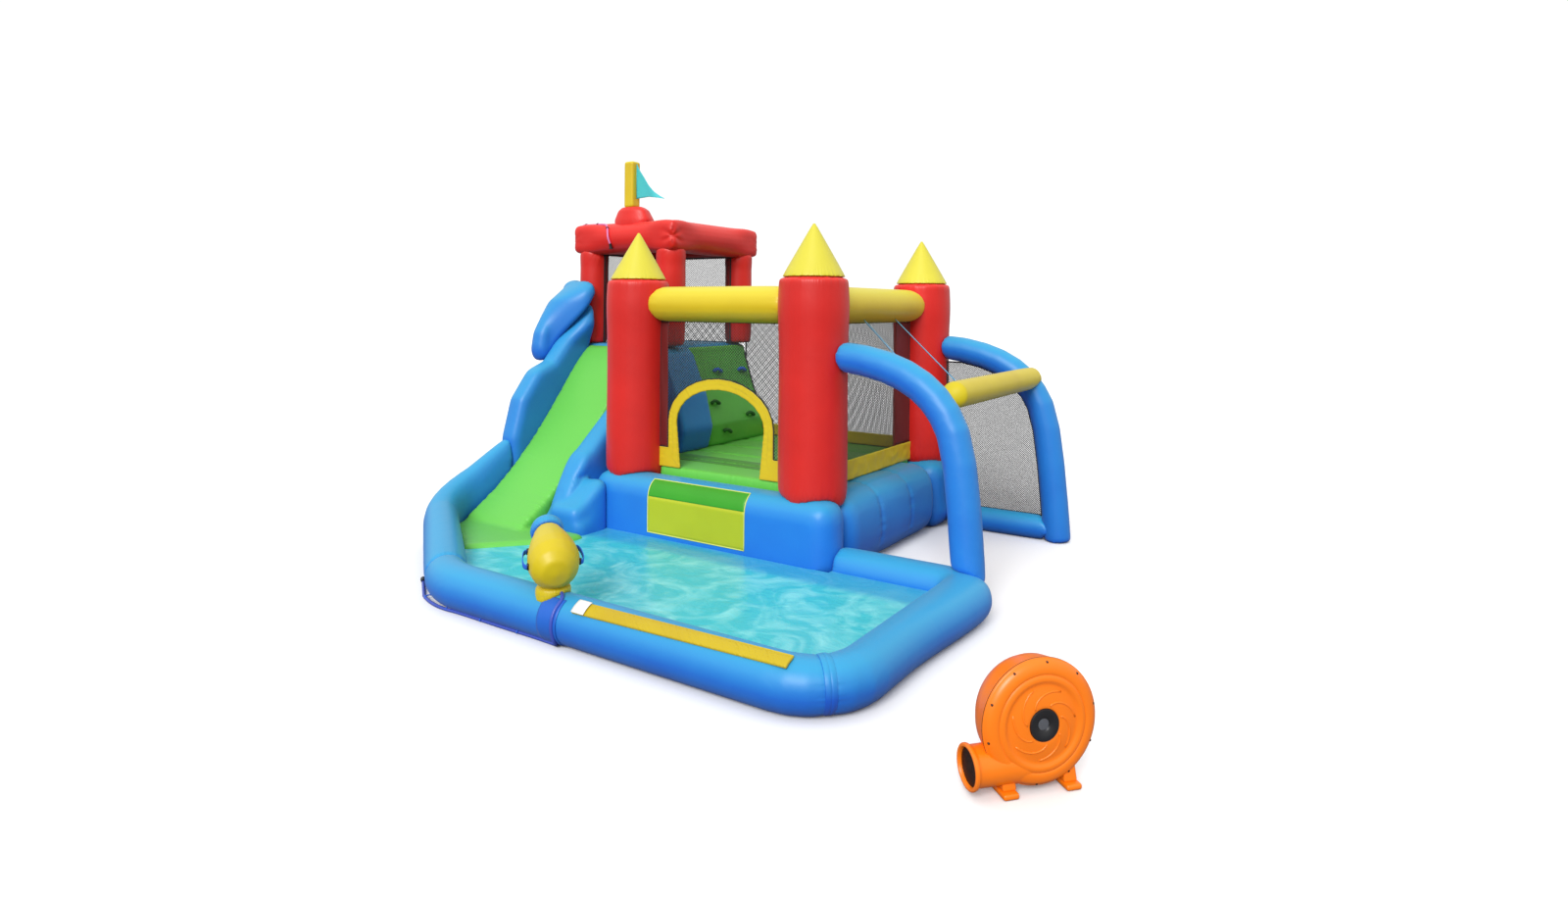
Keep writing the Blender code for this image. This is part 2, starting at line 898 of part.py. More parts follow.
def make_tower_net(palette):
    """One net wraps the tower's back and left sides, just inside the posts."""
    bottom = deck_height + 2 * seam_gap
    top = roof_bottom - seam_gap
    inset = post_radius + seam_gap + net_thickness / 2
    back_y = post_back_y - inset
    left_x = post_left_x + inset
    back = [(left_x - net_thickness, bottom), (post_right_x, bottom),
            (post_right_x, top), (left_x - net_thickness, top)]
    left = [(post_front_y, bottom + seam_gap), (back_y, bottom + seam_gap),
            (back_y, top - seam_gap), (post_front_y, top - seam_gap)]
    wrap = net("tower_net", back, "y", back_y, palette["net"])
    boolean(wrap, as_cutter(net("tower_net_side", left, "x", left_x, None)), "UNION")


def make_tower_core(palette):
    cushion(
        "tower_core",
        (tower_left_x, tower_front_y, 0.0),
        (post_right_x, tower_back_y, deck_height),
        tower_edge,
        palette["blue"],
        segments=3,
    )


# Slide


def slide_profile():
    """The lane's top edge as (y, z), from the deck down to the pool floor."""
    start = Vector((tower_front_y - seam_gap, deck_height))
    curve = bezier(
        start,
        start - Vector((lane_crest_reach, lane_crest_drop)),
        Vector((start.x - lane_steep_reach - lane_bend, deck_height * lane_steep_share)),
        Vector((start.x - lane_foot_reach, deck_height * lane_foot_share)),
        lane_steps,
    )
    toe = (curve[-1].x - lane_run_out, liner_thickness + lane_toe)
    return [(point.x, point.y) for point in curve] + [toe]


def bumper_front():
    """The y of the bumper's front face, which stands ahead of the castle's front."""
    return -half_y - base_width / 2 - seam_gap - bumper_reach


def make_slide(palette, arm_cutter):
    """The lane, which widens at its foot into a landing mat in the pool."""
    profile = slide_profile()
    toe = profile[-1]
    low = liner_thickness + seam_gap
    outline = [*profile, (toe[0], low), (profile[0][0], low)]
    bed = prism("slide_bed", outline, "x", lane_left_x + seam_gap, lane_right_x - seam_gap,
                palette["green"])
    left = lane_left_x + seam_gap
    right = lane_right_x - seam_gap
    behind = bumper_front() - seam_gap
    plan = [
        (left, landing_start_y),
        (left, landing_left_y),
        (landing_bend_x, landing_bend_y),
        (landing_tip_x, landing_tip_y),
        (landing_corner_x, landing_corner_y),
        (landing_corner_x, behind),
        (right, behind),
        (right, landing_start_y),
    ]
    landing = prism("slide_landing", plan, "z", low, landing_height, None)
    soften(landing, landing_edge, 3)
    boolean(bed, as_cutter(landing), "UNION")
    cut(bed, arm_cutter)


def make_side_walls(palette, post_cutter):
    deck_y = tower_front_y - seam_gap
    wall_end = deck_y - side_wall_reach
    left = [
        (deck_y, 0.0),
        *[(deck_y - side_wall_reach * out, deck_height + side_wall_rise * up)
          for out, up in side_wall_shares],
        (wall_end, pool_arm_top),
        (wall_end, 0.0),
    ]
    wall = prism("slide_left_wall", left, "x", side_wall_left_x, lane_left_x, palette["blue"])
    soften(wall, wall_edge, 3)
    fin_points = [
        (deck_y - fin_reach * out, deck_height + fin_rise * up) for out, up in fin_shares
    ]
    fin = prism("slide_fin", fin_points, "x", fin_left_x, side_wall_left_x - seam_gap,
                palette["blue"])
    soften(fin, fin_edge, 3)
    cut(fin, post_cutter)
    low = liner_thickness + seam_gap
    front = -half_y - base_width / 2 - seam_gap
    bumper_end = bumper_front()
    right = [
        (deck_y, low),
        *[(deck_y - right_wall_reach * out, deck_height - right_wall_fall * down)
          for out, down in right_wall_shares],
        (bumper_end + bumper_slope, base_height),
        (bumper_end, base_height - bumper_nose_drop),
        (bumper_end, low),
    ]
    wall = prism("slide_right_wall", right, "x", lane_right_x, right_wall_x - seam_gap,
                 palette["blue"])
    soften(wall, wall_edge, 3)
    bumper = cushion(
        "slide_bumper",
        (lane_right_x + wall_edge, bumper_end, low),
        (bumper_right_x, front, base_height - bumper_drop),
        wall_edge,
        None,
        segments=3,
    )
    boolean(wall, as_cutter(bumper), "UNION")
    return wall_end


# Splash pool


def pool_line(wall_end):
    """The pool tubes' centre line in plan, from the slide's wall round to the castle's side."""
    wall_middle = (side_wall_left_x + lane_left_x) / 2
    back_end = half_x + base_width / 2 + seam_gap
    corners = [
        (wall_middle, wall_end - seam_gap, 0.0),
        (pool_arm_corner_x, pool_arm_corner_y, 0.0),
        (pool_left_corner_x, pool_front_y, 0.0),
        (pool_right_x, pool_front_y, 0.0),
        (pool_right_x, pool_back_y, 0.0),
        (back_end, pool_back_y, 0.0),
    ]
    radii = [
        pool_arm_corner_radius,
        pool_left_corner_radius,
        pool_corner_radius,
        pool_back_corner_radius,
    ]
    path = rounded_path(corners, radii, pool_arc_steps)
    headings = tangents(path)
    headings[0] = Vector((0, -1, 0))
    headings[-1] = Vector((-1, 0, 0))
    return path, headings


def pool_runs(wall_end):
    """Split the centre line at its two sewn seams: the arm, the front tube and the right tube."""
    path, headings = pool_line(wall_end)
    arc = pool_arc_steps + 1
    left_seam = 1 + arc
    right_seam = 1 + 2 * arc + pool_arc_steps // 2
    runs = []
    for first, last in ((0, left_seam), (left_seam, right_seam), (right_seam, len(path) - 1)):
        points = path[first:last + 1]
        turned = headings[first:last + 1]
        if first:
            points[0] = points[0] + turned[0] * seam_gap
        runs.append((points, turned))
    return runs


def pool_rings(points, headings, starts, ends, grow=0.0):
    """Rings along a run; starts and ends are (half width, height, squareness) of its section."""
    lengths = [0.0]
    for before, after in zip(points, points[1:]):
        lengths.append(lengths[-1] + (after - before).length)
    rings = []
    for point, heading, length in zip(points, headings, lengths):
        share = length / lengths[-1]
        ease = 1 - (1 - share) ** 3
        half_width, height, power = (a * (1 - ease) + b * ease for a, b in zip(starts, ends))
        across = heading.cross(Vector((0, 0, 1))).normalized()
        middle = point + Vector((0, 0, height / 2))
        rings.append(
            ring_points(middle, across, Vector((0, 0, 1)), half_width + grow, height / 2 + grow,
                        tube_sides, power)
        )
    return rings


def make_pool_tubes(palette, wall_end):
    tall = ((lane_left_x - side_wall_left_x) / 2, pool_arm_top, pool_arm_squareness)
    round_end = (pool_tube_radius, pool_tube_top, round_squareness)
    sections = {
        "pool_left_arm": (tall, round_end),
        "pool_front_tube": (round_end, round_end),
        "pool_right_tube": (round_end, round_end),
    }
    seats = {}
    whole = []
    for (name, (starts, ends)), (points, headings) in zip(sections.items(), pool_runs(wall_end)):
        loft(name, pool_rings(points, headings, starts, ends), palette["blue"])
        grown = pool_rings(points, headings, starts, ends, 2 * seam_gap)
        seats[name] = as_cutter(loft(name + "_seat", grown, None))
        whole += grown[1:] if whole else grown
    seats["pool"] = as_cutter(loft("pool_seat", whole, None))
    return seats


def make_liner(palette, seats, wall_end):
    """The pool's floor sheet; it runs under the slide's toe and up to every tube."""
    front_of_base = -half_y - base_width / 2 - seam_gap
    path, _ = pool_line(wall_end)
    outline = [(point.x, point.y) for point in path[1:]]
    outline += [
        (half_x + base_width / 2, front_of_base),
        (right_wall_x, front_of_base),
        (right_wall_x, wall_end - seam_gap),
        (lane_left_x, wall_end - seam_gap),
    ]
    liner = prism("pool_liner", outline, "z", 0.0, liner_thickness - seam_gap, palette["liner"])
    cut(liner, seats["pool"])


def make_entry_pad(palette):
    """A ribbed strip over the front tube, where people climb in."""
    inner = pool_tube_radius + seam_gap
    outer = inner + pad_thickness
    span = pad_front_angle - pad_back_angle
    steps = 2 * pad_rib_count
    outline = []
    for index in range(steps + 1):
        angle = math.radians(pad_back_angle + span * index / steps)
        lift = pad_rib if index % 2 else 0.0
        radius = outer + lift
        outline.append((pool_front_y - radius * math.sin(angle),
                        pool_tube_radius + radius * math.cos(angle)))
    for index in reversed(range(steps + 1)):
        angle = math.radians(pad_back_angle + span * index / steps)
        outline.append((pool_front_y - inner * math.sin(angle),
                        pool_tube_radius + inner * math.cos(angle)))
    return prism("entry_pad", outline, "x", pad_start_x, pad_end_x, palette["yellow"])


# Water cannon


def make_cannon(palette, tube_seat):
    """A pear-shaped cannon that swivels on a short post on the pool's front tube."""
    place = Matrix.Translation((cannon_x, pool_front_y, 0))
    low = pool_tube_top - pool_tube_radius / 2

    def post_profile(grow):
        return [
            (0.0, cannon_post_top),
            (cannon_post_top_radius + grow, cannon_post_top),
            (cannon_post_radius + grow, low),
            (0.0, low),
        ]

    post = lathe("cannon_post", post_profile(0.0), tube_sides, palette["yellow"], place)
    cut(post, tube_seat)
    post_seat = lathe("cannon_post_seat", post_profile(seam_gap), tube_sides, None, place)
    swivel = bpy.data.objects.new("cannon_swivel", None)
    bpy.context.collection.objects.link(swivel)
    swivel.location = (cannon_x, pool_front_y, cannon_post_top)
    swivel.rotation_euler = (0, 0, math.radians(cannon_yaw))
    tilt = Matrix.Rotation(math.radians(cannon_pitch), 4, "X")
    aim = tilt @ Matrix.Rotation(math.radians(-90), 4, "X")
    start = Vector((0, -cannon_overhang, cannon_lift))
    seat = Matrix.Translation(start) @ aim
    radius = cannon_body_radius
    profile = [
        (0.0, 0.0),
        *[(radius * out, cannon_length * along) for out, along in cannon_shares],
        (cannon_neck_radius, cannon_length * cannon_neck_share),
        (cannon_neck_radius, cannon_length),
        (0.0, cannon_length),
    ]
    body = lathe("cannon_body", list(reversed(profile)), tube_sides, palette["yellow"])
    ring = closed_lathe(
        "cannon_nozzle",
        [
            (nozzle_bore_radius, cannon_length + nozzle_length),
            *[(nozzle_ring_radius * out, cannon_length + nozzle_length * along)
              for out, along in nozzle_shares],
            (nozzle_ring_radius * nozzle_root_share, cannon_length + seam_gap),
            (nozzle_bore_radius, cannon_length + seam_gap),
        ],
        tube_sides,
        palette["blue"],
    )
    for piece in (body, ring):
        piece.parent = swivel
        piece.matrix_local = seat
    trim = block_cutter(
        "cannon_underside",
        (cannon_x - cannon_length, pool_front_y - cannon_length, 0.0),
        (cannon_x + cannon_length, pool_front_y + cannon_length, cannon_post_top + seam_gap),
    )
    cut(body, trim)
    for side, label in ((-1, "left"), (1, "right")):
        grip_x = side * (radius + handle_standoff)
        near_share, far_share = handle_foot_shares
        start_y = cannon_length * handle_start_share
        near = Vector((side * radius * near_share, start_y, 0))
        far = Vector((side * radius * far_share, start_y + handle_length, 0))
        path = rounded_path(
            [
                near,
                Vector((grip_x, near.y, 0)),
                Vector((grip_x, far.y, 0)),
                far,
            ],
            [handle_standoff * handle_bend_share] * 2,
            3,
        )
        turned = [Vector((point.x, 0, point.y)) for point in path]
        handle = tube("cannon_handle_" + label, turned, handle_radius, palette["blue"], sides=10,
                      up=Vector((0, 1, 0)))
        handle.parent = swivel
        handle.matrix_local = seat
        cut(handle, cannon_skin(seat, swivel, profile, label))
    return as_cutter(post_seat)


def cannon_skin(seat, swivel, profile, label):
    """The body's shape with a hair of clearance, which the handles' feet are cut to."""
    grown = [(radius + seam_gap if radius else 0.0, height) for radius, height in profile]
    skin = lathe("cannon_skin_" + label, list(reversed(grown)), tube_sides, None)
    skin.parent = swivel
    skin.matrix_local = seat
    return as_cutter(skin)


# Goal frame


def goal_path():
    """The goal arch's centre line as (x, z): out from the column and down to its foot."""
    start = Vector((half_x, goal_spring_height))
    knee = Vector((half_x + goal_knee_reach, goal_spring_height - goal_knee_drop))
    foot = Vector((half_x + goal_reach, 0.0))

    def pull(shares):
        return Vector((goal_reach * shares[0], goal_knee_drop * shares[1]))

    out = Vector((goal_reach * goal_start_share, 0.0))
    over = bezier(start, start + out, knee + pull(goal_knee_in_shares), knee, goal_arc_steps)
    down = bezier(knee, knee + pull(goal_knee_out_shares), foot + pull(goal_foot_shares), foot,
                  goal_arc_steps // 2)
    return over + down[1:]


def make_goal(palette, columns, right_tube_seat):
    """Two arches, the bar between them, the back's ground tube and its net."""
    line = goal_path()
    lean = pool_back_y + half_y
    last = len(line) - 1
    seats = {}
    for name, y, foot_shift in (("front", -half_y, lean), ("back", half_y, 0.0)):
        points = [
            Vector((point.x, y + foot_shift * (index / last) ** 2, point.y))
            for index, point in enumerate(line)
        ]
        label = "goal_" + name + "_arch"
        arch = tube(label, points, goal_tube_radius, palette["blue"], up=Vector((0, 1, 0)))
        cut(arch, columns[name + "_right"])
        seats[name] = as_cutter(
            tube(label + "_seat", points, goal_tube_radius, None, seam_gap, up=Vector((0, 1, 0)))
        )
        if name == "front":
            cut(arch, right_tube_seat)
        floor_line = goal_foot_height if name == "front" else 0.0
        cut(arch, block_cutter(label + "_foot_trim", (half_x, y - half_y, -overrun),
                               (half_x * 4, y + half_y, floor_line)))
    bar = [(goal_bar_x, -half_y, goal_bar_height), (goal_bar_x, half_y, goal_bar_height)]
    crossbar = tube("goal_crossbar", bar, goal_bar_radius, palette["yellow"])
    cut(crossbar, seats["front"], seats["back"])
    base_start = half_x + base_width / 2 + seam_gap
    ground_bar = [(base_start, half_y, goal_base_radius),
                  (line[-1].x, half_y, goal_base_radius)]
    low = tube("goal_base_tube", ground_bar, goal_base_radius, palette["blue"])
    cut(low, seats["back"])
    inner = []
    for before, point, after in zip(line, line[1:], line[2:] + line[-1:]):
        direction = (after - before).normalized()
        inward = Vector((direction.y, -direction.x))
        inner.append(point + inward * (goal_tube_radius + net_thickness))
    post_face = half_x + column_radius + seam_gap
    base_side = half_x + base_width / 2 + seam_gap
    floor_line = 2 * goal_base_radius + seam_gap
    edge = [point for point in inner if point.x > post_face and point.y > floor_line]
    below = next(point for point in inner if point.y <= floor_line)
    share = (edge[-1].y - floor_line) / (edge[-1].y - below.y)
    outline = [
        (post_face, base_height + seam_gap),
        (base_side, base_height + seam_gap),
        (base_side, floor_line),
        (edge[-1].lerp(below, share).x, floor_line),
        *[(point.x, point.y) for point in reversed(edge)],
        (post_face, edge[0].y),
    ]
    net("goal_net", outline, "y", half_y, palette["net"])


def make_hoop(palette):
    """A small throwing hoop held against the crossbar, with its laced cord."""
    bar_side = flat_radius(goal_bar_radius, tube_sides)
    ring_side = flat_radius(hoop_tube, cord_sides)
    cord_side = flat_radius(hoop_cord_radius, cord_sides)
    centre_x = goal_bar_x - bar_side - hoop_radius - ring_side - seam_gap
    centre = Vector((centre_x, -half_y + hoop_setback, goal_bar_height))
    rings = []
    data = bmesh.new()
    for step in range(24):
        angle = math.tau * step / 24
        out = Vector((math.cos(angle), math.sin(angle), 0))
        ring = ring_points(centre + out * hoop_radius, out, Vector((0, 0, 1)), hoop_tube,
                           hoop_tube, cord_sides)
        rings.append([data.verts.new(point) for point in ring])
    for row, following in zip(rings, rings[1:] + rings[:1]):
        for step in range(cord_sides):
            after = (step + 1) % cord_sides
            data.faces.new((row[step], row[after], following[after], following[step]))
    put("hoop_ring", data, palette["black"])
    lift = cord_side + ring_side + seam_gap
    reach = flat_radius(beam_radius, tube_sides) + cord_side + seam_gap
    tie_x = half_x + reach * math.sin(math.radians(cord_tie_angle))
    tie_z = beam_centre_height - reach * math.cos(math.radians(cord_tie_angle))
    route = [
        (tie_x, -half_y + cord_near_tie, tie_z),
        (centre.x - hoop_radius * 0.4, centre.y - hoop_radius * 0.9, centre.z + lift),
        (centre.x + hoop_radius * 0.8, centre.y - hoop_radius * 0.6, centre.z + lift),
        (centre.x + hoop_radius, centre.y + hoop_radius * 0.7, centre.z + lift + hoop_tube),
        (tie_x, -half_y + cord_far_tie, tie_z),
    ]
    tube("hoop_cord", route, hoop_cord_radius, palette["cord"], sides=cord_sides)


# Hoses


def smooth_route(points, steps):
    """A smooth curve through hand-chosen points, for the hoses."""
    points = [Vector(point) for point in points]
    ends = [points[0] * 2 - points[1], *points, points[-1] * 2 - points[-2]]
    path = []
    for p0, p1, p2, p3 in zip(ends, ends[1:], ends[2:], ends[3:]):
        for step in range(steps):
            t = step / steps
            path.append(
                0.5 * (p1 * 2 + (p2 - p0) * t + (p0 * 2 - p1 * 5 + p2 * 4 - p3) * t * t
                       + (p1 * 3 - p0 - p2 * 3 + p3) * t ** 3)
            )
    path.append(points[-1])
    return path


def make_hoses(palette, wall_end, post_seat):
    """The cannon's supply hose along the pool's foot, and the roof's sprinkler hose."""
    ground = hose_radius
    reach = pool_tube_radius + hose_radius + hose_lift
    foot = 2 * math.sqrt(pool_tube_radius * hose_radius) + 2 * hose_lift
    line, headings = pool_line(wall_end)
    arc = pool_arc_steps + 1
    first = arc
    last = 2 * arc
    rise_x = cannon_x + hose_rise_offset
    route = []
    for index in range(first, last + 1):
        share = (index - first) / (last - first)
        out = (pool_tube_radius + hose_radius) * (1 - share) + foot * share
        across = headings[index].cross(Vector((0, 0, 1)))
        point = line[index] + across * out
        route.append((point.x, point.y, ground))
    lead = [Vector(route[0]).lerp(Vector(route[1]), share) for share in hose_lead_shares]
    route[0:1] = [tuple(point) for point in lead]
    route.append(((route[-1][0] + rise_x) / 2, pool_front_y - foot, ground))
    route.append((rise_x - 4 * hose_radius, pool_front_y - foot, ground))
    climb = []
    for degrees in (-45.0, -30.0, -15.0, 0.0, 15.0, 30.0, 45.0, 60.0):
        angle = math.radians(degrees)
        climb.append((rise_x, pool_front_y - reach * math.cos(angle),
                      pool_tube_radius + reach * math.sin(angle)))
    top = pool_tube_radius + reach
    climb.append((rise_x - 3 * hose_radius, pool_front_y - reach / 4, top))
    climb.append((cannon_x + cannon_post_top_radius / 2, pool_front_y, top))
    path = smooth_route(route + climb, 2)
    hose = tube("cannon_hose", path, hose_radius, palette["hose"], sides=cord_sides)
    cut(hose, post_seat)
    make_sprinkler(palette)


def make_sprinkler(palette):
    """The roof's hose: up round the left corner, along the front tube and down past the crown."""
    reach = roof_tube_radius + hose_radius + 2 * hose_lift

    def on_left(degrees, along):
        angle = math.radians(degrees)
        return (post_left_x - reach * math.sin(angle), post_front_y + along,
                roof_centre_height + reach * math.cos(angle))

    def on_front(degrees, along):
        angle = math.radians(degrees)
        return (post_left_x + along, post_front_y - reach * math.sin(angle),
                roof_centre_height + reach * math.cos(angle))

    drop = roof_middle_x - crown_radius - post_left_x - 2 * hose_radius
    run = [
        on_left(118, roof_tube_radius * 0.15),
        on_left(90, -roof_tube_radius * 0.15),
        on_left(64, -roof_tube_radius * 0.42),
        on_left(46, -roof_tube_radius * 0.47),
        on_left(31, -roof_tube_radius * 0.49),
        on_front(27, -roof_tube_radius * 0.33),
        on_front(29, 0),
        on_front(29, drop * 0.33),
        on_front(30, drop * 0.61),
        on_front(36, drop * 0.88),
        on_front(52, drop * 1.07),
        on_front(72, drop * 1.18),
        on_front(92, drop * 1.235),
        on_front(115, drop * 1.29),
    ]
    tube("sprinkler_hose", smooth_route(run, 2), hose_radius, palette["pink"], sides=cord_sides)


# Air inlet


def make_inlet_sleeve(palette):
    """The open fabric sleeve at the back, which is tied over the blower's outlet."""
    back = half_y + base_width / 2 + seam_gap
    place = (
        Matrix.Translation((sleeve_x, back, sleeve_radius))
        @ Matrix.Rotation(math.radians(-90), 4, "X")
    )
    inner = sleeve_radius - sleeve_wall
    closed_lathe(
        "inlet_sleeve",
        [
            (inner, sleeve_length),
            (sleeve_radius, sleeve_length),
            *[(sleeve_radius * out, sleeve_length * along) for out, along in sleeve_shares],
            (sleeve_radius, 0.0),
            (inner, 0.0),
            *[(inner * out, sleeve_length * along) for out, along in reversed(sleeve_shares)],
        ],
        tube_sides,
        palette["blue"],
        place,
    )


# Blower


def blower_frame():
    frame = bpy.data.objects.new("blower_frame", None)
    bpy.context.collection.objects.link(frame)
    frame.location = (blower_x, blower_y, 0)
    frame.rotation_euler = (0, 0, math.radians(blower_turn))
    return frame


def axle_place():
    """Lathe heights then run towards the front, from the middle of the housing."""
    return (
        Matrix.Translation((0, 0, blower_centre_height))
        @ Matrix.Rotation(math.radians(90), 4, "X")
    )


def outlet_place():
    """Lathe heights then run out along the outlet, from below the axle."""
    return (
        Matrix.Translation((0, outlet_offset, blower_centre_height - outlet_drop))
        @ Matrix.Rotation(math.radians(-90), 4, "Y")
    )


def hang(piece, frame, place):
    piece.parent = frame
    piece.matrix_local = place
    return piece


def front_profile():
    """The front shell's outer section, from its face back to the split plane."""
    face = blower_front_depth
    half_rim = blower_rim_depth / 2
    return [
        (0.0, face),
        (blower_step_radius - blower_step, face),
        (blower_step_radius, face - blower_step * blower_step_share),
        (blower_radius - 3 * blower_rim, face - blower_step),
        (blower_radius - blower_rim, half_rim + blower_rim_depth / 3),
        (blower_radius, half_rim),
        (blower_radius, seam_gap / 2),
        (0.0, seam_gap / 2),
    ]


def rear_profile():
    """The rear shell's outer section, from the split plane to its back."""
    back = -blower_rear_depth
    half_rim = blower_rim_depth / 2
    return [
        (0.0, -seam_gap / 2),
        (blower_radius, -seam_gap / 2),
        (blower_radius, -half_rim),
        (blower_radius - blower_rim, -half_rim),
        (blower_rear_radius + blower_step, back * blower_back_share),
        (blower_rear_radius, back),
        (0.0, back),
    ]


def cavity_profile():
    front = blower_front_depth - blower_step - blower_wall
    back = -blower_rear_depth + blower_wall
    inner = blower_radius - 2 * blower_rim - blower_wall
    return [
        (0.0, front),
        (inner - blower_step, front),
        (inner, front - blower_step),
        (inner, -blower_rim),
        (blower_rear_radius - blower_wall, back),
        (0.0, back),
    ]


def outlet_rod(label, frame, keep_low, keep_high):
    """One half of the outlet's pipe and flange, up to the split plane."""
    rod = outlet_radius + outlet_wall
    pipe = as_cutter(hang(
        lathe("outlet_pipe_" + label, [
            (0.0, outlet_reach),
            (rod + outlet_flange, outlet_reach),
            (rod + outlet_flange, outlet_reach - outlet_flange),
            (rod, outlet_reach - outlet_flange),
            (rod, 0.0),
            (0.0, 0.0),
        ], tube_sides, None), frame, outlet_place()))
    big = 2 * blower_radius
    other = block_mesh((-big, keep_low, -overrun), (big, keep_high, big))
    cut(pipe, as_cutter(hang(put("other_half_" + label, other, None, False), frame, Matrix())))
    return pipe


def foot_blocks(label, frame, front, back, rib_front, rib_back):
    """The two moulded feet and their ribs, between a front and a back plane."""
    blocks = []
    rib_high = blower_centre_height - blower_radius * foot_rib_share
    for side, turn in (("left", -1), ("right", 1)):
        middle = turn * foot_spread
        foot = block_mesh((middle - foot_width / 2, front, 0.0),
                          (middle + foot_width / 2, back, foot_height))
        rib = block_mesh((middle - foot_height, rib_front, foot_height / 2),
                         (middle + foot_height, rib_back, rib_high))
        for kind, data in (("foot", foot), ("rib", rib)):
            name = kind + "_" + side + "_" + label
            blocks.append(as_cutter(hang(put(name, data, None, False), frame, Matrix())))
    return blocks


def make_blower(palette):
    frame = blower_frame()
    bore = as_cutter(hang(
        lathe("outlet_bore", [
            (0.0, outlet_reach + overrun),
            (outlet_radius, outlet_reach + overrun),
            (outlet_radius, blower_radius / 4),
            (0.0, blower_radius / 4),
        ], tube_sides, None), frame, outlet_place()))
    cavity = as_cutter(hang(lathe("housing_cavity", cavity_profile(), column_sides, None),
                            frame, axle_place()))
    intake = as_cutter(hang(lathe("intake_hole", [
        (0.0, blower_front_depth + overrun),
        (intake_radius, blower_front_depth + overrun),
        (intake_radius, 0.0),
        (0.0, 0.0),
    ], tube_sides, None), frame, axle_place()))
    motor_hole = as_cutter(hang(lathe("motor_hole", [
        (0.0, 0.0),
        (motor_radius + seam_gap, 0.0),
        (motor_radius + seam_gap, -blower_rear_depth - overrun),
        (0.0, -blower_rear_depth - overrun),
    ], tube_sides, None), frame, axle_place()))
    split = seam_gap / 2
    big = 2 * blower_radius
    halves = (
        ("front", front_profile(), (-split, big), (-foot_front, -split, -blower_rim, -split), intake),
        ("rear", rear_profile(), (-big, split), (split, foot_back, split, foot_rib_depth), motor_hole),
    )
    for name, profile, other_side, foot_planes, hole in halves:
        shell = lathe("blower_" + name + "_shell", profile, column_sides, palette["orange"])
        hang(shell, frame, axle_place())
        boolean(shell, outlet_rod(name, frame, *other_side), "UNION")
        for block in foot_blocks(name, frame, *foot_planes):
            boolean(shell, block, "UNION")
        cut(shell, bore, cavity, hole)
    make_guard(palette, frame)
    make_rotor(palette, frame)
    make_electrics(palette, frame)


def make_guard(palette, frame):
    """The black intake cone with its round opening, set in the front shell."""
    outer = intake_radius - seam_gap
    depth = blower_front_depth
    ring = closed_lathe("blower_intake_guard", [
        (guard_bore_radius, depth - guard_depth * guard_front_share),
        (outer - guard_lip, depth + guard_proud),
        (outer, depth),
        (outer, depth - guard_depth),
        (outer - guard_lip, depth - guard_depth),
        (guard_bore_radius, depth - guard_depth * guard_back_share),
    ], tube_sides, palette["black"])
    hang(ring, frame, axle_place())


def make_rotor(palette, frame):
    """The impeller on its shaft, and the motor that carries it."""
    axle = bpy.data.objects.new("impeller_axle", None)
    bpy.context.collection.objects.link(axle)
    axle.parent = frame
    axle.location = (0, impeller_offset, blower_centre_height)
    points = []
    sweep = math.radians(impeller_sweep)
    for index in range(impeller_blades):
        start = math.tau * index / impeller_blades
        root = impeller_blade / impeller_hub_radius
        tip = impeller_blade / impeller_radius
        middle = (impeller_hub_radius + impeller_radius) / 2
        centre = impeller_blade / middle
        for radius, angle in (
            (impeller_hub_radius, start - root / 2),
            (middle, start + sweep * sweep_share - centre / 2),
            (impeller_radius, start + sweep - tip / 2),
            (impeller_radius, start + sweep + tip / 2),
            (middle, start + sweep * sweep_share + centre / 2),
            (impeller_hub_radius, start + root / 2),
        ):
            points.append((radius * math.cos(angle), radius * math.sin(angle)))
    front_face = -impeller_width / 2
    fan = prism("blower_impeller", points, "y", front_face, front_face + impeller_width,
                palette["black"], smooth=False)
    fan.parent = axle
    plate = lathe("impeller_plate", [
        (0.0, impeller_blade / 2),
        (impeller_radius + impeller_blade, impeller_blade / 2),
        (impeller_radius + impeller_blade, -impeller_blade / 2),
        (shaft_radius, -impeller_blade / 2),
        (shaft_radius, -impeller_width),
        (0.0, -impeller_width),
    ], column_sides, None)
    plate.parent = axle
    plate.matrix_local = (Matrix.Translation((0, impeller_width / 2, 0))
                          @ Matrix.Rotation(math.radians(90), 4, "X"))
    boolean(fan, as_cutter(plate), "UNION")
    motor_face = impeller_offset + impeller_width / 2 + running_gap
    bearing = shaft_radius + seam_gap
    motor = closed_lathe("blower_motor", [
        (bearing, -motor_face),
        (motor_radius, -motor_face),
        (motor_radius, -motor_face - motor_length),
        (bearing, -motor_face - motor_length),
    ], tube_sides, palette["steel"])
    hang(motor, frame, axle_place())


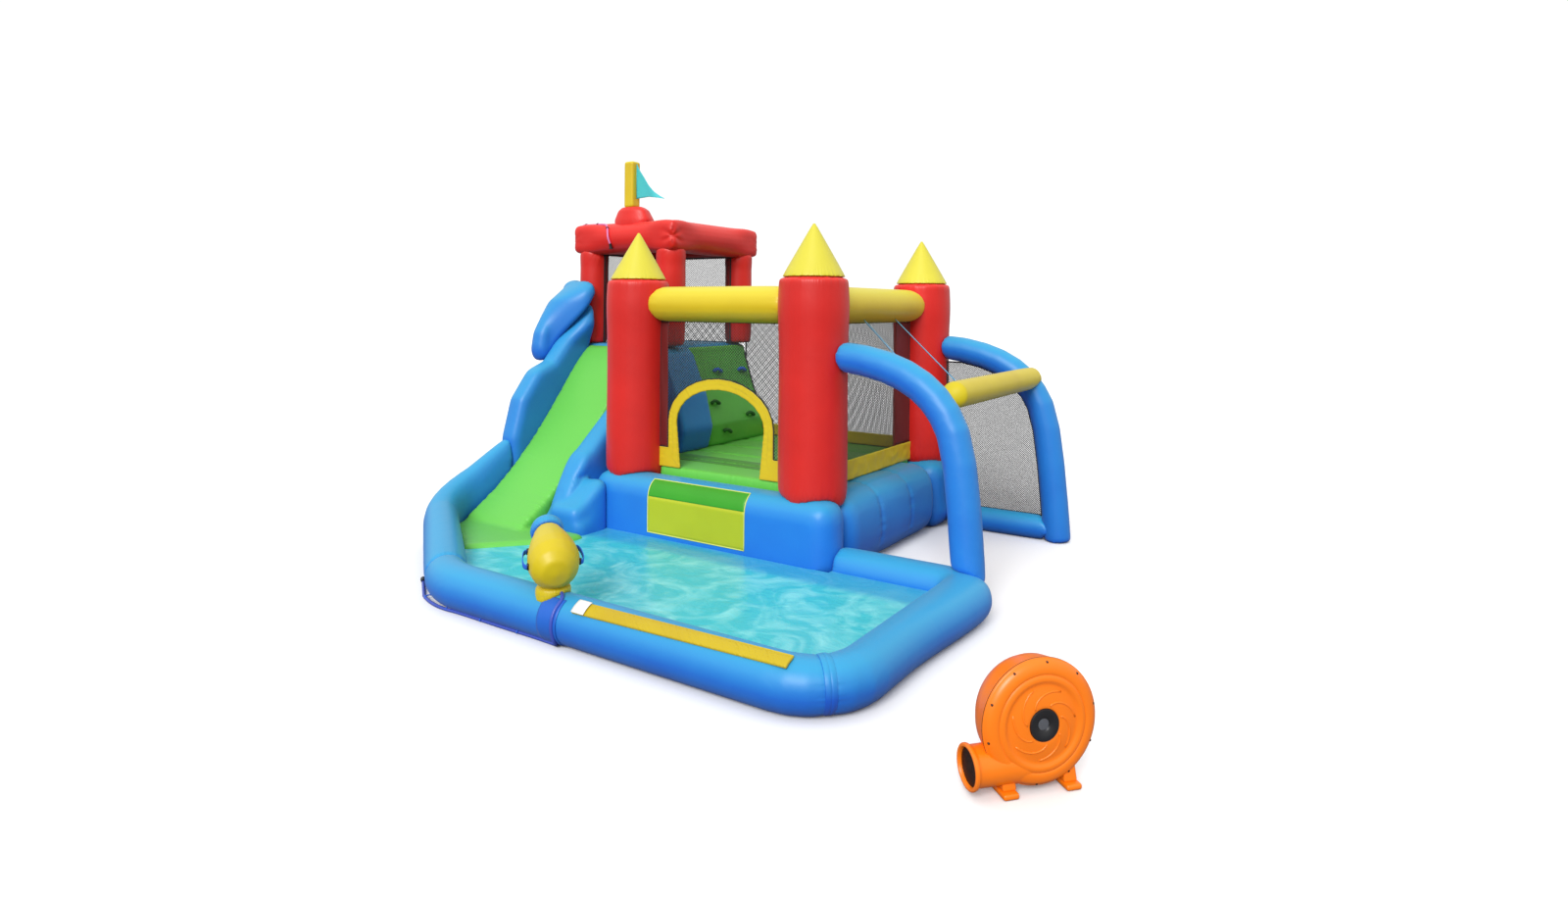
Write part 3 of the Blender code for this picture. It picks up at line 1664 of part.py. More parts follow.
def make_electrics(palette, frame):
    """The rocker switch and the cable gland on the rear shell's face."""
    face = blower_rear_depth
    pivot = bpy.data.objects.new("switch_pivot", None)
    bpy.context.collection.objects.link(pivot)
    pivot.parent = frame
    pivot.location = (gland_offset, face + seam_gap, blower_centre_height)
    rake = switch_thickness * switch_rake_share
    outline = [
        (0.0, 0.0),
        (rake, -switch_height / 2),
        (switch_thickness, -switch_height / 2),
        (switch_thickness * switch_dip_share, 0.0),
        (switch_thickness, switch_height / 2),
        (rake, switch_height / 2),
    ]
    rocker = prism("blower_switch", outline, "x", -switch_width / 2, switch_width / 2,
                   palette["black"], smooth=False)
    rocker.parent = pivot
    gland = lathe("blower_cable_gland", [
        (0.0, gland_length),
        (gland_radius * gland_tip_share, gland_length),
        (gland_radius, gland_length * gland_nut_share),
        (gland_radius, 0.0),
        (0.0, 0.0),
    ], 12, palette["black"])
    place = (Matrix.Translation((-gland_offset, face + seam_gap, blower_centre_height))
             @ Matrix.Rotation(math.radians(-90), 4, "X"))
    hang(gland, frame, place)


def build():
    clear_scene()
    palette = make_palette()
    base_cutters = make_base(palette)
    floor = make_floor(palette, base_cutters)
    columns = make_columns(palette, base_cutters, floor)
    roof_cutter = make_roof(palette)
    posts = make_posts(palette, roof_cutter)
    make_beams(palette, columns, posts)
    make_arch(palette)
    make_castle_nets(palette)
    make_climbing_wall(palette)
    make_crown_and_flag(palette, roof_cutter)
    make_tower_net(palette)
    make_tower_core(palette)
    wall_end = make_side_walls(palette, posts["front_left"])
    seats = make_pool_tubes(palette, wall_end)
    make_slide(palette, seats["pool_left_arm"])
    make_liner(palette, seats, wall_end)
    make_entry_pad(palette)
    post_seat = make_cannon(palette, seats["pool_front_tube"])
    make_goal(palette, columns, seats["pool_right_tube"])
    make_hoop(palette)
    make_hoses(palette, wall_end, post_seat)
    make_inlet_sleeve(palette)
    make_blower(palette)
    bpy.context.view_layer.update()


build()
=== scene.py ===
"""The looks of the inflatable water slide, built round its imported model.

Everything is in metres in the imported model's frame: +Z up, the castle's entrance towards -Y, the
goal towards +X and the slide tower towards -X.
"""

import math

import bmesh
import bpy
import numpy as np
from mathutils import Matrix, Vector, kdtree, noise
from mathutils.bvhtree import BVHTree


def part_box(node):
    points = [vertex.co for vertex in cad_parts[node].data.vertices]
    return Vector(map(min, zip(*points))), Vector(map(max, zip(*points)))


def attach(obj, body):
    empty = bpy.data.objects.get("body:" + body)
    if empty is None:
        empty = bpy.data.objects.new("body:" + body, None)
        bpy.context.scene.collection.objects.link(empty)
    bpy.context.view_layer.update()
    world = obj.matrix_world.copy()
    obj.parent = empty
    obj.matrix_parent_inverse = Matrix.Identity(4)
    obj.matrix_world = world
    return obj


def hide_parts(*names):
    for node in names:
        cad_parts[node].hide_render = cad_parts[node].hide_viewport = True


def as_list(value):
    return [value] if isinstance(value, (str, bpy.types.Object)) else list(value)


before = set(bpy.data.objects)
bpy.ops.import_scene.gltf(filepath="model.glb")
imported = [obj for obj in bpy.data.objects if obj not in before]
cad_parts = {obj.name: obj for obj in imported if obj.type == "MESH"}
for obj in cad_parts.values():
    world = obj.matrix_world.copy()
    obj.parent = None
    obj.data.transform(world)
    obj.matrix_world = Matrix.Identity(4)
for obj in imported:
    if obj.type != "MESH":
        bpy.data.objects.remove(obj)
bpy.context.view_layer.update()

castle = "castle_and_blower_housing"
up = Vector((0, 0, 1))
hair = 0.001
cloth_thickness = 0.0012

# Seams are the edges sharper than this angle, sampled at this step
seam_angle = 48.0
seam_step = 0.006

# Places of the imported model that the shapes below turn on
tower_left, tower_right = -1.865, -0.99
tower_front, tower_back = -0.217, 0.723
tower_x = (tower_left + tower_right) / 2
tower_y = (tower_front + tower_back) / 2
roof_z = 2.296
edge_tube_y, edge_tube_z = -2.49, 0.12
edge_tube_radius = 0.1265
castle_side_x = 0.76
opening_half = 0.626
net_y = 0.85
net_foot, net_top = 0.563, 1.613
flap_top = 1.606
entrance_foot = 0.703
crossbar_x, crossbar_z = 1.665, 1.20
hose_radius = 0.009
axle_height = 0.25


def linear(hex_colour, alpha=1.0):
    """Turn an sRGB hex colour into the linear values that a shader takes."""
    values = []
    for start in (1, 3, 5):
        share = int(hex_colour[start:start + 2], 16) / 255
        values.append(share / 12.92 if share <= 0.04045 else ((share + 0.055) / 1.055) ** 2.4)
    return (*values, alpha)


# Materials


def add(tree, kind, links=(), **settings):
    """Add one node; settings are its properties, links are (input, value or socket) pairs."""
    node = tree.nodes.new(kind)
    for name, value in settings.items():
        setattr(node, name, value)
    for name, value in links:
        if isinstance(value, bpy.types.NodeSocket):
            tree.links.new(value, node.inputs[name])
        else:
            node.inputs[name].default_value = value
    return node


def new_material(name):
    material = bpy.data.materials.new(name)
    material.use_nodes = True
    tree = material.node_tree
    return material, tree, tree.nodes["Principled BSDF"]


def own_place(tree):
    return add(tree, "ShaderNodeTexCoord").outputs["Object"]


def speckle(tree, place, per_metre, detail=2.0, more=(), **settings):
    """Noise with so many grains to the metre."""
    links = [("Vector", place), ("Scale", per_metre), ("Detail", detail), *more]
    return add(tree, "ShaderNodeTexNoise", links, **settings).outputs["Fac"]


def remap(tree, value, low, high, to_low, to_high, kind="LINEAR"):
    links = [("Value", value), ("From Min", low), ("From Max", high), ("To Min", to_low),
             ("To Max", to_high)]
    return add(tree, "ShaderNodeMapRange", links, interpolation_type=kind).outputs["Result"]


def blend(tree, share, first, second):
    """Mix two colours; the second has the share."""
    links = [(0, share), (6, first), (7, second)]
    return add(tree, "ShaderNodeMix", links, data_type="RGBA").outputs[2]


def combine(tree, first, second, operation):
    return add(tree, "ShaderNodeMath", [(0, first), (1, second)], operation=operation).outputs[0]


def stretched(tree, place, scale):
    return add(tree, "ShaderNodeMapping", [("Vector", place), ("Scale", scale)]).outputs["Vector"]


def relief(tree, height, strength, distance, below=()):
    """Bump; below is the normal that it stands on."""
    links = [("Height", height), ("Strength", strength), ("Distance", distance)]
    links += [("Normal", normal) for normal in below]
    return add(tree, "ShaderNodeBump", links).outputs["Normal"]


def dress(tree, shader, sockets, **values):
    """Join sockets to the shader's inputs by name, and set plain values."""
    for name, socket in sockets:
        tree.links.new(socket, shader.inputs[name])
    for name, value in values.items():
        shader.inputs[name.replace("_", " ")].default_value = value


def coated_oxford(name, colour, deep, painted_highlight_colour=None, roughness=0.42):
    """Woven polyester with a vinyl coat: an even satin face with a painted highlight that makes it
    paler where it faces up, a fine grain of threads, faint cloudy tone and creases from folding,
    painted shade that darkens it right at its seams, and tight gathers where a seam pulls it in."""
    grain_mm = 4.0
    crease_mm = 160.0
    gather_mm = 26.0
    clouds_per_metre = 2.2
    material, tree, shader = new_material(name)
    place = own_place(tree)
    seam = add(tree, "ShaderNodeUVMap", uv_map="seam").outputs["UV"]
    away = add(tree, "ShaderNodeSeparateXYZ", [("Vector", seam)]).outputs["Y"]
    cloud = remap(tree, speckle(tree, place, clouds_per_metre, 3.0, [("Roughness", 0.55)]),
                  0.35, 0.7, 0.0, 0.35)
    near = remap(tree, away, 0.0, 0.11, 1.0, 0.0, "SMOOTHSTEP")
    # Painted shade: within about 18 mm of a seam the colour darkens towards the deep colour.
    painted_seam_shade = remap(tree, away, 0.004, 0.018, 0.45, 0.0, "SMOOTHSTEP")
    normal = add(tree, "ShaderNodeNewGeometry").outputs["Normal"]
    height = add(tree, "ShaderNodeSeparateXYZ", [("Vector", normal)]).outputs["Z"]
    # Painted highlight: faces that look upwards blend towards a paler colour, as if lit from above.
    painted_highlight_share = remap(tree, height, -0.15, 0.80, 0.0, 0.9 if painted_highlight_colour else 0.0)
    # The deep colour tints both the random faint clouds and the painted seam shade.
    cloud_and_seam_shade_tone = blend(tree, combine(tree, cloud, painted_seam_shade, "ADD"), linear(colour), linear(deep))
    tint = blend(tree, painted_highlight_share, cloud_and_seam_shade_tone, linear(painted_highlight_colour or colour))
    gathers = speckle(tree, stretched(tree, seam, (1000 / gather_mm, 2.0, 0.0)), 1.0, 1.0,
                      noise_dimensions="2D")
    creases = speckle(tree, place, 1000 / crease_mm, 4.0, [("Distortion", 0.6)])
    folded = relief(tree, creases, 0.10, 0.02)
    sewn = relief(tree, combine(tree, gathers, near, "MULTIPLY"), 0.7, 0.006, [folded])
    woven = relief(tree, speckle(tree, place, 1000 / grain_mm), 0.12, 0.0008, [sewn])
    dress(tree, shader, [("Base Color", tint), ("Normal", woven)], Roughness=roughness, IOR=1.48,
          Sheen_Weight=0.06)
    return material


def moulded(name, colour, roughness):
    """Injection-moulded plastic: a satin skin with a fine spark-eroded grain."""
    grain_mm = 1.2
    material, tree, shader = new_material(name)
    place = own_place(tree)
    grain = relief(tree, speckle(tree, place, 1000 / grain_mm), 0.06, 0.0004)
    worn = remap(tree, speckle(tree, place, 9.0), 0.0, 1.0, roughness * 0.85, roughness * 1.2)
    dress(tree, shader, [("Normal", grain), ("Roughness", worn)], Base_Color=linear(colour),
          IOR=1.53)
    return material


def webbing(name, colour, rib_mm=3.0):
    """Woven strap, braid or knitted mesh cord: matt, with ribs that run across it."""
    waves_per_unit = 6.3
    material, tree, shader = new_material(name)
    ribs = add(tree, "ShaderNodeTexWave",
               [("Vector", own_place(tree)), ("Scale", 1000 / rib_mm / waves_per_unit),
                ("Distortion", 1.0)], bands_direction="DIAGONAL").outputs["Fac"]
    dress(tree, shader, [("Normal", relief(tree, ribs, 0.4, 0.0008))],
          Base_Color=linear(colour), Roughness=0.7)
    return material


def drawn_steel(name, colour, roughness):
    """Plain drawn steel: bright, with faint lines along the draw."""
    material, tree, shader = new_material(name)
    lines = speckle(tree, stretched(tree, own_place(tree), (40.0, 40.0, 900.0)), 1.0)
    worn = remap(tree, lines, 0.0, 1.0, roughness * 0.7, roughness * 1.3)
    dress(tree, shader, [("Roughness", worn)], Base_Color=linear(colour), Metallic=1.0)
    return material


# Each finish is a material and the name of the slot that it stands for; nothing here reads the slot
# name
finish = {}
# A coated cloth's tones are its own colour; a deeper colour for random clouds and for painted shade
# at its seams; where given, a paler colour for the painted highlight on faces that look up; and
# where given, a roughness.
for key, name, slot, *tones in (
    ("blue", "blue_coated_oxford", "blue_coated_oxford", "#1C74D6", "#1048C4", "#2FA0CE"),
    ("red", "red_coated_oxford", "red_coated_oxford", "#D81810", "#A80F0C", "#E63026"),
    ("yellow", "yellow_coated_oxford", "yellow_coated_oxford", "#DEBC10", "#C39A08", "#DCD034"),
    ("pad", "pad_yellow_oxford", "yellow_coated_oxford", "#D4C008", "#B89A08"),
    ("lemon", "lemon_coated_oxford", "yellow_coated_oxford", "#DDD02A", "#C8B612", "#D6CE44"),
    ("green", "green_coated_oxford", "green_coated_oxford", "#66C748", "#4FB03A", "#68C64C"),
    # Darker green for the floor's channel is painted shade.
    ("channel", "painted_channel_shade_oxford", "green_coated_oxford", "#4A9434", "#3A7A28"),
    ("leaf", "climbing_green_oxford", "climbing_green_oxford", "#4FAE38", "#2F7F22", "#66C24C"),
    ("cyan", "pennant_polyester", "pennant_polyester", "#4CC6CC", "#2FAFB4", None, 0.6),
    ("liner", "pool_liner_vinyl", "pool_liner_vinyl", "#3FC4CC", "#2AA3B0", None, 0.35),
    # Dark red for the net flaps is painted shade on red cloth.
    ("maroon", "painted_shade_red_flap_oxford", "red_coated_oxford", "#6E100E", "#470807", None, 0.55),
    ("lime", "lime_panel_oxford", "blue_coated_oxford", "#B8C01C", "#9AA312"),
    ("bright_leaf", "leaf_panel_oxford", "blue_coated_oxford", "#38A01C", "#2A8212"),
    ("straw", "straw_binding_oxford", "yellow_coated_oxford", "#E6EE86", "#C8D060"),
    ("apron", "apron_blue_oxford", "blue_coated_oxford", "#1866CC", "#0E46AE"),
    ("white", "white_blank_oxford", "yellow_coated_oxford", "#F0F0EC", "#D8D8D4"),
):
    finish[key] = (coated_oxford(name, *tones), slot)
finish.update({
    "mesh": (webbing("knitted_black_mesh", "#2A2A2C", 2.0), "black_mesh"),
    "blue_strap": (webbing("blue_polypropylene_webbing", "#2468D8"), "blue_coated_oxford"),
    "green_strap": (webbing("dark_green_webbing", "#1F5A1E"), "climbing_green_oxford"),
    "cord": (webbing("light_blue_braided_cord", "#6FB4DC", 2.0), "light_blue_cord"),
    "orange_abs": (moulded("orange_abs", "#FC7E0A", 0.33), "orange_abs"),
    "black_abs": (moulded("black_abs", "#17171A", 0.42), "black_abs"),
    "violet_hose": (moulded("violet_vinyl_hose", "#3E55B8", 0.35), "hose_vinyl"),
    "pink_hose": (moulded("pink_vinyl_hose", "#D877AE", 0.35), "sprinkler_vinyl"),
    "brown": (moulded("shaded_brown_plastic", "#6A2E22", 0.6), "orange_abs"),
    "steel": (drawn_steel("drawn_steel", "#B9BCC2", 0.35), "motor_steel"),
    "dark_steel": (drawn_steel("blackened_screw_steel", "#5A4A44", 0.4), "motor_steel"),
})


# Shared steps


def only(piece):
    bpy.ops.object.select_all(action="DESELECT")
    piece.select_set(True)
    bpy.context.view_layer.objects.active = piece


def apply_step(piece, kind, **settings):
    """Add one modifier to a piece and apply it."""
    step = piece.modifiers.new(kind.lower(), kind)
    for name, value in settings.items():
        setattr(step, name, value)
    only(piece)
    bpy.ops.object.modifier_apply(modifier=step.name)


def linked(name, data):
    piece = bpy.data.objects.new(name, data)
    bpy.context.scene.collection.objects.link(piece)
    return piece


def from_points(name, points, faces):
    mesh = bpy.data.meshes.new(name)
    mesh.from_pydata([tuple(point) for point in points], [], faces)
    return linked(name, mesh)


def face_outwards(piece):
    data = bmesh.new()
    data.from_mesh(piece.data)
    bmesh.ops.remove_doubles(data, verts=data.verts, dist=hair / 100)
    bmesh.ops.recalc_face_normals(data, faces=data.faces)
    data.to_mesh(piece.data)
    data.free()


def settle(piece, key, body=castle, smooth=True):
    """Give a piece its finish and body, and shade it."""
    material, own_slot = finish[key]
    piece.data.materials.clear()
    piece.data.materials.append(material)
    if smooth:
        piece.data.shade_smooth()
    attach(piece, body)
    return piece


def node_copy(name, node):
    """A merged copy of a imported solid, as a start for the piece that stands for it."""
    data = bmesh.new()
    data.from_mesh(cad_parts[node].data)
    bmesh.ops.remove_doubles(data, verts=data.verts, dist=hair / 20)
    mesh = bpy.data.meshes.new(name)
    data.to_mesh(mesh)
    data.free()
    return linked(name, mesh)


def sharp_lines(piece):
    """The edges where two panels meet, as short runs of points."""
    data = bmesh.new()
    data.from_mesh(piece.data)
    lines = []
    for edge in data.edges:
        if len(edge.link_faces) == 2:
            angle = edge.link_faces[0].normal.angle(edge.link_faces[1].normal, 0.0)
            if angle > math.radians(seam_angle):
                lines.append([vert.co.copy() for vert in edge.verts])
    data.free()
    return lines


def along_seams(lines):
    """Sample the seams closely; returns the points' tree and each point's run along them."""
    points = []
    runs = []
    for line in lines:
        for start, end in zip(line, line[1:]):
            count = max(1, int((end - start).length / seam_step))
            for index in range(count + 1):
                spot = start.lerp(end, index / count)
                points.append(spot)
                runs.append(spot.x * 1.31 + spot.y * 1.17 + spot.z * 0.93)
    tree = kdtree.KDTree(max(1, len(points)))
    for index, point in enumerate(points):
        tree.insert(point, index)
    tree.balance()
    return tree, runs


def read_places(mesh):
    places = np.empty(len(mesh.vertices) * 3)
    mesh.vertices.foreach_get("co", places)
    return places.reshape(-1, 3)


def draw_in(piece, lines, depth, reach, ripple, pitch, seed, swell):
    """Let the panels swell, pull them in at their seams, and fold them into puckers there."""
    far = 10.0
    tree, runs = along_seams(lines)
    mesh = piece.data
    places = read_places(mesh)
    count = len(places)
    normals = np.empty(count * 3)
    mesh.vertex_normals.foreach_get("vector", normals)
    run = np.zeros(count)
    away = np.full(count, far)
    fold = np.zeros(count)
    for index in range(count if lines else 0):
        _, nearest, away[index] = tree.find(places[index])
        run[index] = runs[nearest]
        if away[index] < reach * 4:
            coarse = Vector((run[index] / pitch, seed, 0.0))
            fine = Vector((run[index] * 2.3 / pitch, seed + 9.0, 0.0))
            fold[index] = noise.noise(coarse) + 0.5 * noise.noise(fine)
    close = np.exp(-away / reach)
    shift = swell * (1.0 - close) - depth * np.exp(-(away / (0.4 * reach)) ** 2)
    shift += ripple * (fold - 0.35) * close
    places += normals.reshape(-1, 3) * shift[:, None]
    places[:, 2] = np.maximum(places[:, 2], 0.0)
    mesh.vertices.foreach_set("co", places.ravel())
    layer = mesh.uv_layers.new(name="seam")
    corners = np.empty(len(mesh.loops), dtype=np.int32)
    mesh.loops.foreach_get("vertex_index", corners)
    pairs = np.stack((run[corners], np.minimum(away[corners], 1.0)), axis=1)
    layer.data.foreach_set("uv", pairs.ravel())
    mesh.update()


def far_from_seams(piece):
    """Mark a sewn sheet as having no gathers."""
    for corner in piece.data.uv_layers.new(name="seam").data:
        corner.uv = (0.0, 1.0)


def share_of(value, start, span):
    """How far the value has come from start over the span; a negative span runs downwards."""
    return min(max((value - start) / span, 0.0), 1.0)


def ease(value, start, span):
    """The same share, but with a soft start and end."""
    share = share_of(value, start, span)
    return share * share * (3.0 - 2.0 * share)


def bell(value, middle, width):
    """1 at the middle, and fading on both sides of it."""
    return math.exp(-((value - middle) / width) ** 2)


def inflated(node, key, body=castle, voxel=0.014, rounds=10, swell=0.004, depth=0.004,
             reach=0.07, ripple=0.006, pitch=0.05, seed=1.0, shape=None, seams=()):
    """An air-filled chamber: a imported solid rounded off, swollen and drawn in at its seams, and
    flat where it would sink below the ground."""
    piece = node_copy(node + "_skin", node)
    lines = sharp_lines(piece) + list(seams)
    apply_step(piece, "REMESH", mode="VOXEL", voxel_size=voxel)
    apply_step(piece, "SMOOTH", factor=0.5, iterations=rounds)
    if shape:
        for vert in piece.data.vertices:
            vert.co = shape(vert.co)
        piece.data.update()
    draw_in(piece, lines, depth, reach, ripple, pitch, seed, swell)
    settle(piece, key, body)
    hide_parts(node)
    return piece


def curve_tube(name, points, radius, key, body=castle, closed=False):
    """A round cord, welt or thin tube along a line of points."""
    line = bpy.data.curves.new(name, "CURVE")
    line.dimensions = "3D"
    line.bevel_depth = radius
    line.bevel_resolution = 3
    line.use_fill_caps = True
    spline = line.splines.new("POLY")
    spline.points.add(len(points) - 1)
    for spot, point in zip(spline.points, points):
        spot.co = (*point, 1.0)
    spline.use_cyclic_u = closed
    only(linked(name, line))
    bpy.ops.object.convert(target="MESH")
    piece = bpy.context.active_object
    face_outwards(piece)
    return settle(piece, key, body)


def solid_tree(piece):
    """A search tree of a piece's surface, for laying other pieces on it."""
    data = bmesh.new()
    data.from_mesh(piece.data)
    tree = BVHTree.FromBMesh(data)
    data.free()
    return tree


def sheet_grid(name, place, across, along, thickness, key, body=castle):
    """A thin closed sheet; place(u, v) gives its middle, u and v running from 0 to 1."""
    middle = [[Vector(place(i / across, j / along)) for i in range(across + 1)]
              for j in range(along + 1)]
    top = []
    bottom = []
    for j in range(along + 1):
        for i in range(across + 1):
            side = middle[j][min(i + 1, across)] - middle[j][max(i - 1, 0)]
            onward = middle[min(j + 1, along)][i] - middle[max(j - 1, 0)][i]
            normal = side.cross(onward).normalized()
            top.append(middle[j][i] + normal * thickness / 2)
            bottom.append(middle[j][i] - normal * thickness / 2)
    row = across + 1
    count = row * (along + 1)
    faces = []
    for j in range(along):
        for i in range(across):
            a, b = j * row + i, j * row + i + 1
            faces.append((a, b, b + row, a + row))
            faces.append((count + a, count + a + row, count + b + row, count + b))
    rim = [*range(row), *[j * row + across for j in range(1, along + 1)],
           *[along * row + i for i in range(across - 1, -1, -1)],
           *[j * row for j in range(along - 1, 0, -1)]]
    for a, b in zip(rim, rim[1:] + rim[:1]):
        faces.append((a, count + a, count + b, b))
    piece = from_points(name, top + bottom, faces)
    face_outwards(piece)
    far_from_seams(piece)
    return settle(piece, key, body)


def ring_point(steps, step, radius, height):
    turn = math.tau * step / steps
    return Vector((radius * math.cos(turn), radius * math.sin(turn), height))


def joined_rings(name, points, count, steps, key, ring, crease):
    """Close rows of points, of so many each, into a turned skin."""
    faces = []
    for step in range(steps):
        here = step * count
        there = (step + 1) % steps * count
        for index in range(count if ring else count - 1):
            following = (index + 1) % count
            faces.append((here + index, there + index, there + following, here + following))
    if not ring:
        faces.append(tuple(step * count for step in range(steps)))
        faces.append(tuple(step * count + count - 1 for step in reversed(range(steps))))
    piece = from_points(name, points, faces)
    face_outwards(piece)
    settle(piece, key)
    piece.data.set_sharp_from_angle(angle=math.radians(crease))
    return piece


def lathe(name, profile, steps, place, key, ring=False):
    """Turn (radius, height) points round an axis; place maps the turned points to the frame."""
    points = [place @ ring_point(steps, step, radius, height)
              for step in range(steps) for radius, height in profile]
    return joined_rings(name, points, len(profile), steps, key, ring, 38)


def smooth_line(points, steps):
    """A Catmull-Rom curve through the points."""
    points = [Vector(point) for point in points]
    ends = [2 * points[0] - points[1], *points, 2 * points[-1] - points[-2]]
    line = []
    for a, b, c, d in zip(ends, ends[1:], ends[2:], ends[3:]):
        for step in range(steps):
            t = step / steps
            line.append(0.5 * (2 * b + (c - a) * t + (2 * a - 5 * b + 4 * c - d) * t * t
                               + (3 * b - 3 * c + d - a) * t ** 3))
    line.append(points[-1])
    return line


def box_rod(points, faces, start, end, side, normal):
    """Add one flat strand: a long box from start to end."""
    base = len(points)
    for middle in (start, end):
        for a, b in ((-1, -1), (1, -1), (1, 1), (-1, 1)):
            points.append(middle + side * a + normal * b)
    faces += [tuple(base + i for i in face) for face in (
        (3, 2, 1, 0), (4, 5, 6, 7), (0, 1, 5, 4), (1, 2, 6, 5), (2, 3, 7, 6), (3, 0, 4, 7))]


def knitted_net(name, outline, axis, place, rests_on, spacing, half_width):
    """A safety net: fine crossing strands cut to an outline, with a bound edge.

    The outline is (y, z) for axis x and (x, z) for axis y."""
    half_thick = 0.0011
    hem = 0.012
    normal = Vector((1, 0, 0)) if axis == "x" else Vector((0, 1, 0))

    def spot(a, b):
        return Vector((place, a, b)) if axis == "x" else Vector((a, place, b))

    corners = list(zip(outline, outline[1:] + outline[:1]))
    points = []
    faces = []
    for turn in (1, -1):
        along = (math.sqrt(0.5), turn * math.sqrt(0.5))
        across = (-along[1], along[0])
        levels = [a * across[0] + b * across[1] for a, b in outline]
        level = math.ceil(min(levels) / spacing) * spacing
        side = (spot(*across) - spot(0, 0)) * half_width
        while level < max(levels):
            cuts = []
            for (a0, b0), (a1, b1) in corners:
                first = a0 * across[0] + b0 * across[1] - level
                second = a1 * across[0] + b1 * across[1] - level
                if (first < 0) != (second < 0):
                    share = first / (first - second)
                    a, b = a0 + (a1 - a0) * share, b0 + (b1 - b0) * share
                    cuts.append((a * along[0] + b * along[1], a, b))
            cuts.sort()
            for (_, a0, b0), (_, a1, b1) in zip(cuts[::2], cuts[1::2]):
                if math.hypot(a1 - a0, b1 - b0) > 2 * spacing:
                    box_rod(points, faces, spot(a0, b0), spot(a1, b1), side, normal * half_thick)
            level += spacing
    for first, second in corners:
        start, end = spot(*first), spot(*second)
        side = (end - start).normalized().cross(normal) * hem / 2
        box_rod(points, faces, start, end, side, normal * 3 * half_thick)
    piece = settle(from_points(name, points, faces), "mesh", smooth=False)
    wide = [a for a, _ in outline]
    high = [b for _, b in outline]
    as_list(rests_on)
    return piece


# Camera, light and ground


def set_camera():
    """Stand where the photograph was taken: at an adult's eye height, turned to the left."""
    place = (3.569, -5.525, 1.720)
    yaw = math.radians(33.015)
    pitch = math.radians(-0.348)
    roll = math.radians(0.416)
    photo_width, photo_middle_y = 1600, 458
    focal_pixels = 862
    horizon_pixel = 308
    forward = Vector((-math.sin(yaw) * math.cos(pitch), math.cos(yaw) * math.cos(pitch),
                      -math.sin(pitch)))
    right = Vector((math.cos(yaw), math.sin(yaw), 0.0))
    above = right.cross(forward)
    turned = right * math.cos(roll) + above * math.sin(roll)
    risen = above * math.cos(roll) - right * math.sin(roll)
    lens = bpy.data.cameras.new("camera")
    lens.sensor_width = 36.0
    lens.lens = lens.sensor_width * focal_pixels / photo_width
    lens.shift_y = -(photo_middle_y - horizon_pixel) / photo_width
    lens.clip_end = 200.0
    camera = linked("camera", lens)
    turn = Matrix((turned, risen, -forward)).transposed().to_4x4()
    camera.matrix_world = Matrix.Translation(place) @ turn
    bpy.context.scene.camera = camera


def set_light():
    """A white studio: even light all round and one broad soft key from the front and above."""
    scene = bpy.context.scene
    scene.view_settings.view_transform = "Standard"
    world = bpy.data.worlds.new("studio")
    scene.world = world
    world.use_nodes = True
    tree = world.node_tree
    background = tree.nodes["Background"]
    background.inputs["Color"].default_value = linear("#FFFFFF")
    rays = add(tree, "ShaderNodeLightPath")
    seen = combine(tree, rays.outputs["Is Camera Ray"], rays.outputs["Is Transmission Ray"],
                   "MAXIMUM")
    direction = add(tree, "ShaderNodeTexCoord").outputs["Generated"]
    height = add(tree, "ShaderNodeSeparateXYZ", [("Vector", direction)]).outputs["Z"]
    ceiling = remap(tree, height, -0.1, 0.8, 0.62, 0.92)
    strength = add(tree, "ShaderNodeMix", [(0, seen), (2, ceiling), (3, 1.05)]).outputs[0]
    tree.links.new(strength, background.inputs["Strength"])
    sun = bpy.data.lights.new("key_light", "SUN")
    sun.energy = 2.3
    sun.angle = math.radians(28)
    key_light = linked("key_light", sun)
    key_light.rotation_mode = "QUATERNION"
    key_light.rotation_quaternion = Vector((-0.22, 0.80, -0.58)).to_track_quat("-Z", "Y")


def set_floor():
    """A pale floor: bright to the camera, greyer to the light that it throws back up."""
    bpy.ops.mesh.primitive_plane_add(size=160.0, location=(0, 0, -hair))
    floor = bpy.context.active_object
    floor.name = "studio_floor"
    material, tree, shader = new_material("pale_floor")
    seen = add(tree, "ShaderNodeLightPath").outputs["Is Camera Ray"]
    tone = blend(tree, seen, linear("#7C7E82"), linear("#FFFFFF"))
    dress(tree, shader, [("Base Color", tone)], Roughness=0.95, Specular_IOR_Level=0.1)
    floor.data.materials.append(material)


set_camera()
set_light()
set_floor()


# Hoses and cords


def laid_cord(name, node, route, radius, key):
    """A hose or cord along a route whose first point is where it leaves the object."""
    piece = curve_tube(name, route, radius, key)
    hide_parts(node)


def along_axis(start, direction):
    """The matrix that sets a turned piece's axis at a point and along a direction."""
    turn = Vector(direction).to_track_quat("Z", "Y").to_matrix().to_4x4()
    return Matrix.Translation(start) @ turn


